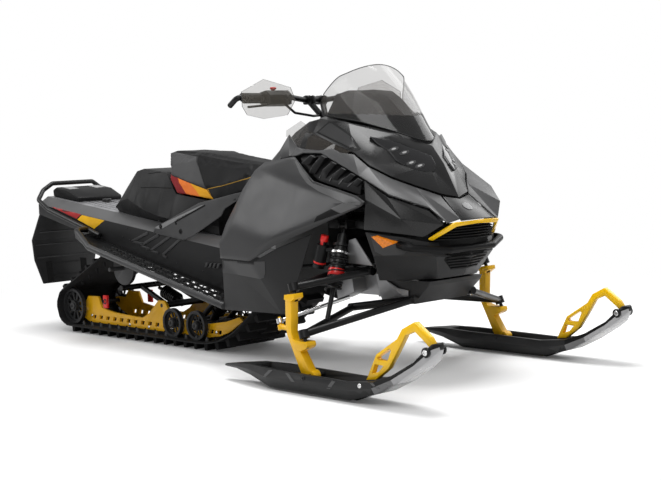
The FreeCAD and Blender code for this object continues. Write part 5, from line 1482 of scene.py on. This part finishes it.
@dataclass
class Nose(Assembly):
    """Nose cowl with a plain disc, yellow trim, grille, bumper lip and belly pan."""

    disc_z: float = 634.0
    disc_half: Place = (21, 12.6)
    slat_top: float = 568.0
    slat_pitch: float = 9.6
    slat_count: int = 6
    slat_depth: float = 20.0
    slat_height: float = 3.6
    backing_inset: float = 24.0
    backing_depth: float = 3.0
    backing_low: float = 496.0
    backing_height: float = 84.0
    grille_plan: Outline = ((1219, 0), (1204, 108), (1150, 158))
    keel_half: float = 200.0
    keel_relief: Outline = ((860, 200), (1140, 200), (1140, 282), (1014, 282), (1004, 297), (886, 341), (860, 345))
    on_belly: tuple[Laid, ...] = (
        ("side_facet", PANEL_MID_AND_HIGHLIGHT, 1.0, ((981, 549), (1070, 530), (1109, 521), (1070, 474), (1011, 471), (989, 486))),
        ("orange_reflector", REFLEX_ORANGE, 2.6, ((984, 541), (1005, 546), (1063, 522), (1013, 499))),
    )
    vent_field: Outline = ((-118, 478), (118, 478), (118, 446), (70, 408), (-70, 408), (-118, 446))
    vent_top: float = 468.0
    vent_pitch: float = 10.5
    vent_count: int = 6
    vent_half: float = 108.0
    vent_taper: Place = (446, 1.15)

    def build(self) -> None:
        """Make every piece of the nose."""
        cowl = self.softened("nose_cowl", "cowl", 0.003, BLACK_GLOSS, 12.0)
        self.softened("nose_trim", "yellow_trim", 0.002, TRIM_YELLOW, 20.0)
        self.softened("bumper", "bumper_lip", 0.0, BLACK_MOULDED)
        # The belly's black is lightened as painted fill light, because the belly sits in shade.
        belly = self.softened("belly_pan", "belly", 0.0035, BLACK_WITH_PAINTED_FILL, 14.0)
        self.carve(belly, self.keel_relief, self.keel_half)
        for side in Side:
            self.lay(self.on_belly, belly, side)
        self.plain_disc(cowl)
        self.grille()
        self.vent(belly)

    def plain_disc(self, cowl: Piece) -> None:
        """Plain round disc on the middle of the nose.

        Args:
            cowl: The nose cowl.
        """
        across, up = self.disc_half
        turns = [math.pi * i / 12 for i in range(24)]
        outline = [(across * math.cos(turn), self.disc_z + up * math.sin(turn)) for turn in turns]
        self.inlay("nose_disc", outline, cowl, DISC_PALE, thickness=1.6, axis=Axis.ALONG, step=12.0)

    def strip(self, name: str, plan: Outline, depth: float, low: float, height: float,
              finish: Finish) -> bpy.types.Object:
        """Upright strip that follows a plan across the nose.

        Args:
            name: Its name.
            plan: Points in X and Y of the left half, from the middle outwards.
            depth: How far it reaches back, in millimetres.
            low: Height of its foot.
            height: Its height.
            finish: Its finish.

        Returns:
            The strip.
        """
        front = [(x, -y) for x, y in plan[:0:-1]] + list(plan)
        back = [(x - depth, y) for x, y in front[::-1]]
        corners = [metres(x, y, low) for x, y in front + back]
        return self.plate(name, corners, metres(0, 0, height), finish)

    def grille(self) -> None:
        """Dark slats in front of a black backing."""
        slats = self.joined("grille_slats", [
            self.strip("grille_slat", self.grille_plan, self.slat_depth, self.slat_top - i * self.slat_pitch,
                       self.slat_height, BLACK_MOULDED) for i in range(self.slat_count)])
        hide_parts("grille")
        back = tuple((x - self.backing_inset, y) for x, y in self.grille_plan)
        self.strip("grille_back", back, self.backing_depth, self.backing_low, self.backing_height, BLACK_DEEP)

    def vent(self, belly: Piece) -> None:
        """Vent with level slats on the front of the belly pan; its recess is not cut, and a deep black field under the
        slats is painted shade.

        Args:
            belly: The belly pan.
        """
        # Deep black field standing in for the shade inside the vent's recess: painted shade.
        self.inlay("vent_field", self.vent_field, belly, BLACK_DEEP, thickness=1.0, axis=Axis.ALONG, step=16.0)
        below, share = self.vent_taper
        pieces = []
        for i in range(self.vent_count):
            z = self.vent_top - self.vent_pitch * i
            half = self.vent_half - max(0.0, below - z) * share
            outline = [(-half, z - 4), (half, z - 4), (half, z), (-half, z)]
            pieces.append(self.inlay("vent_slat", outline, belly, BLACK_MOULDED, thickness=5.0, axis=Axis.ALONG,
                                     step=30.0))
        self.joined("vent_slats", pieces)


@dataclass
class FrontSuspension(Assembly):
    """Engine bay, cast front frame, arms, shocks, tie rods and yellow spindles."""

    shock_top: Point = (806, 262, 574)
    shock_low: Point = (834, 398, 240)
    coil_span: Place = (0.30, 0.70)
    coil_radius: float = 29.8
    coil_wire: float = 3.4
    coil_turns: float = 6.5
    coil_sides: int = 8
    coil_steps: int = 20
    bottle_top: Point = (743, 318, 505)
    bottle_low: Point = (718, 322, 420)
    gusset_y: float = 278.0
    cast_top: float = 430.0
    cast_rear: float = 700.0
    red_from: float = 510.0
    sleeve_at: float = 0.47
    ring_at: float = 0.285
    band_at: float = 0.74
    sleeve: Outline = ((0, 30.2), (2, 30.8), (24, 30.8), (26, 30.2))
    ring: Outline = ((0, 33), (2, 35), (8, 35), (10, 33))
    band: Outline = ((0, 23.3), (1, 23.8), (6, 23.8), (7, 23.3))
    gusset_depth: float = 0.006
    gusset: Outline = ((844, 522), (878, 531), (961, 432), (826, 438))

    def build(self) -> None:
        """Dress the frame, wind the springs and set the bright pieces."""
        dress(ENGINE_METAL, "engine")
        dress(BLACK_PAINT, "body_frame", "panel_stays", "control_arms", "shocks")
        bulkhead = self.softened("front_frame", "cast_bulkhead", 0.003, CAST_METAL, 25.0)
        self.paint(bulkhead, BLACK_PAINT,
                   lambda middle, normal: middle.z > self.cast_top or middle.x < self.cast_rear)
        bottles = self.softened("reservoirs", "shock_reservoirs", 0.0008, BLACK_PAINT)
        self.paint(bottles, SIGNAL_RED, lambda middle, normal: middle.z > self.red_from)
        for side in Side:
            dress(BRIGHT_STEEL, "tie_rod_" + side.word)
            self.softened("spindle_" + side.word, "forged_spindle_" + side.word, 0.003, FORGED_YELLOW, 30.0)
            self.shock(side)
            top, run = self.axis(side, self.bottle_top, self.bottle_low)
            self.turned("reservoir_band_" + side.word, top + run * self.band_at, run, self.band, SIGNAL_RED, 28)
            corners = [side.at(x, self.gusset_y, z) for x, z in self.gusset]
            self.plate("shock_gusset_" + side.word, corners, side.out * self.gusset_depth, CAST_METAL, 0.002)

    @staticmethod
    def axis(side: Side, top: Point, low: Point) -> tuple[Vector, Vector]:
        """Top of a line that leans, and the run from there to its foot, in metres."""
        return side.at(*top), side.at(*low) - side.at(*top)

    def shock(self, side: Side) -> None:
        """Black coil spring around the red inner sleeve, with a silver ring at its top.

        Args:
            side: Side of the machine.
        """
        top, run = self.axis(side, self.shock_top, self.shock_low)
        start, end = [top + run * share for share in self.coil_span]
        self.coil("shock_coil_" + side.word, start, end - start, BLACK_PAINT)
        self.turned("shock_sleeve_" + side.word, top + run * self.sleeve_at, run, self.sleeve, SIGNAL_RED)
        self.turned("shock_ring_" + side.word, top + run * self.ring_at, run, self.ring, BRIGHT_STEEL, 28)

    def coil(self, name: str, start: Vector, run: Vector, finish: Finish) -> Piece:
        """Coil spring from one end to the other.

        Args:
            name: Its name.
            start: Middle of the first turn, in metres.
            run: Way from there to the middle of the last turn.
            finish: Its finish.

        Returns:
            The spring.
        """
        self.clear_selection()
        bpy.ops.mesh.primitive_circle_add(vertices=self.coil_sides, radius=self.coil_wire * MM, fill_type="NOTHING",
                                          location=(self.coil_radius * MM, 0, 0), rotation=(math.pi / 2, 0, 0))
        piece = self.placed()
        steps = int(self.coil_steps * self.coil_turns)
        self.modify(piece, "SCREW", angle=2 * math.pi * self.coil_turns, screw_offset=run.length, steps=steps,
                    render_steps=steps, use_merge_vertices=False)
        self.pick(piece)
        with self.editing():
            bpy.ops.mesh.fill_holes(sides=self.coil_sides)
        self.mend(piece)
        self.stand(piece, start, run)
        return self.hand_over(piece, name, finish)


@dataclass
class Skis(Assembly):
    """Moulded skis with grey chamfer marks, pale worn tips and yellow handle loops."""

    marks: tuple[tuple[Place, Place], ...] = (((704, 46), (742, 75)), ((863, 46), (829, 73)),
                                              ((1043, 42), (1073, 76)), ((1276, 69), (1246, 85)))
    middle_y: float = 538.5
    tip_half: float = 41.0
    tip_place: Place = (1474, 203)
    boss: Outline = ((-6, 17), (2, 17), (4, 15), (4, 11), (3, 11))
    boss_bolt: Outline = ((0, 10), (3, 10), (4.5, 8.5), (4.5, 5), (2.5, 4.5))
    boss_height: float = 0.002
    mark_half: float = 9.0
    bolt_radius: float = 7.0
    bolts: tuple[tuple[float, float, Finish], ...] = ((1193.0, 68.0, BRIGHT_STEEL), (915.0, 64.0, BOLT_DARK))
    bolt_face: float = 603.0
    flank: Place = (46, 84)
    flank_end: float = 1260.0
    worn_from: float = 1230.0
    pale_from: float = 1330.0

    def build(self) -> None:
        """Make both skis and their handles."""
        for side in Side:
            body = "ski_" + side.word
            ski = self.softened(body, "moulded_" + body, 0.0016, SKI_BLACK, 25.0)
            self.paint(ski, SKI_FLANK, self.on_flank)
            self.paint(ski, SKI_WORN, lambda middle, normal: self.upturned(normal) and middle.x > self.worn_from)
            self.paint(ski, SKI_PALE, lambda middle, normal: self.upturned(normal) and middle.x > self.pale_from)
            self.softened("ski_handle_" + side.word, "handle_loop_" + side.word, 0.0045, TRIM_YELLOW, 20.0)
            half = self.mark_half
            for i, ((x0, z0), (x1, z1)) in enumerate(self.marks):
                outline = [(x0 - half, z0), (x0 + half, z0), (x1 + half, z1), (x1 - half, z1)]
                self.inlay(f"ski_mark_{side.word}_{i + 1}", outline, ski, SKI_MARK, side, body=body)
            for i, (x, z, finish) in enumerate(self.bolts):
                self.bolt(f"ski_bolt_{side.word}_{i + 1}", side.at(x, self.bolt_face, z), side.out, self.bolt_radius,
                          finish, body)
            self.tip_bosses(side)

    def tip_bosses(self, side: Side) -> None:
        """Black boss with a bright bolt where the loop meets the tip, on both faces of a ski.

        Args:
            side: Side of the machine.
        """
        x, z = self.tip_place
        for label, out in (("outer", 1.0), ("inner", -1.0)):
            start, aim = side.at(x, self.middle_y + out * self.tip_half, z), side.out * out
            self.turned(f"tip_boss_{label}_{side.word}", start, aim, self.boss, SKI_BLACK, 24, "ski_" + side.word)
            self.turned(f"tip_bolt_{label}_{side.word}", start + aim * self.boss_height, aim, self.boss_bolt,
                        BRIGHT_STEEL, 20, "ski_" + side.word)

    def on_flank(self, middle: Vector, normal: Vector) -> bool:
        """Whether a face lies on the upper part of the side."""
        low, high = self.flank
        return abs(normal.y) > 0.6 and low < middle.z < high and middle.x < self.flank_end

    @staticmethod
    def upturned(normal: Vector) -> bool:
        """Whether a face belongs to the upturned front underside."""
        return normal.z < -0.15 and normal.x > 0.2


@dataclass
class Handlebar(Assembly):
    """Handlebar with ribbed grips, guards, switch housings, levers and clamps."""

    grip: Place = (392, 1060)
    grip_start: float = 292.0
    ring_pitch: float = 10.0
    ring_count: int = 9
    grip_ring: Outline = ((0, 16.8), (1.2, 17.6), (3.4, 17.6), (4.6, 16.8))
    button: Point = (400, 232, 1088)
    knob: Outline = ((0, 7), (6, 7), (9, 12), (14, 13), (17, 11))
    clamp_low: Point = (366, 20, 1036)
    clamp_high: Point = (418, 46, 1072)
    clamp_bolt: Point = (404, 33, 1072)

    def build(self) -> None:
        """Dress the bar and make what is clamped on it."""
        dress(BLACK_PAINT, "handlebar")
        self.softened("grips", "ribbed_grips", 0.0008, GRIP_RUBBER)
        guards = self.softened("handguards", "guard_shells", 0.0016, GUARD, 30.0)
        self.paint(guards, TUBE_GREY, lambda middle, normal: abs(normal.x) < 0.6)
        self.softened("controls", "switch_housings", 0.002, BLACK_MOULDED, 35.0)
        self.grip_rings()
        up = Vector((0, 0, 1))
        self.turned("stop_button", Side.RIGHT.at(*self.button), up, self.knob, SIGNAL_RED, body="steering")
        for side in Side:
            self.slab("bar_clamp_" + side.word, side, self.clamp_low, self.clamp_high, BLACK_PAINT, 0.006, "steering")
            self.bolt("clamp_bolt_" + side.word, side.at(*self.clamp_bolt), up, 6.0, BRIGHT_STEEL, "steering")

    def grip_rings(self) -> None:
        """Raised rings along each grip."""
        x, z = self.grip
        self.joined("grip_rings", [
            self.turned("grip_ring", side.at(x, self.grip_start + self.ring_pitch * i, z), side.out, self.grip_ring,
                        GRIP_RUBBER, 24, "steering") for side in Side for i in range(self.ring_count)])


def main() -> None:
    """Build every part of the scene in order."""
    logging.basicConfig(level=logging.INFO, format="%(name)s: %(message)s")
    bpy.context.scene.view_settings.view_transform = "Standard"
    for part in (Studio(), TrackDrive(), SkidFrame(), Tunnel(), Boards(), Rear(), Seat(), SidePanels(), Hood(),
                 Nose(), FrontSuspension(), Skis(), Handlebar()):
        part.build()
        LOG.info("%s built", type(part).__name__)


if __name__ == "__main__":
    main()
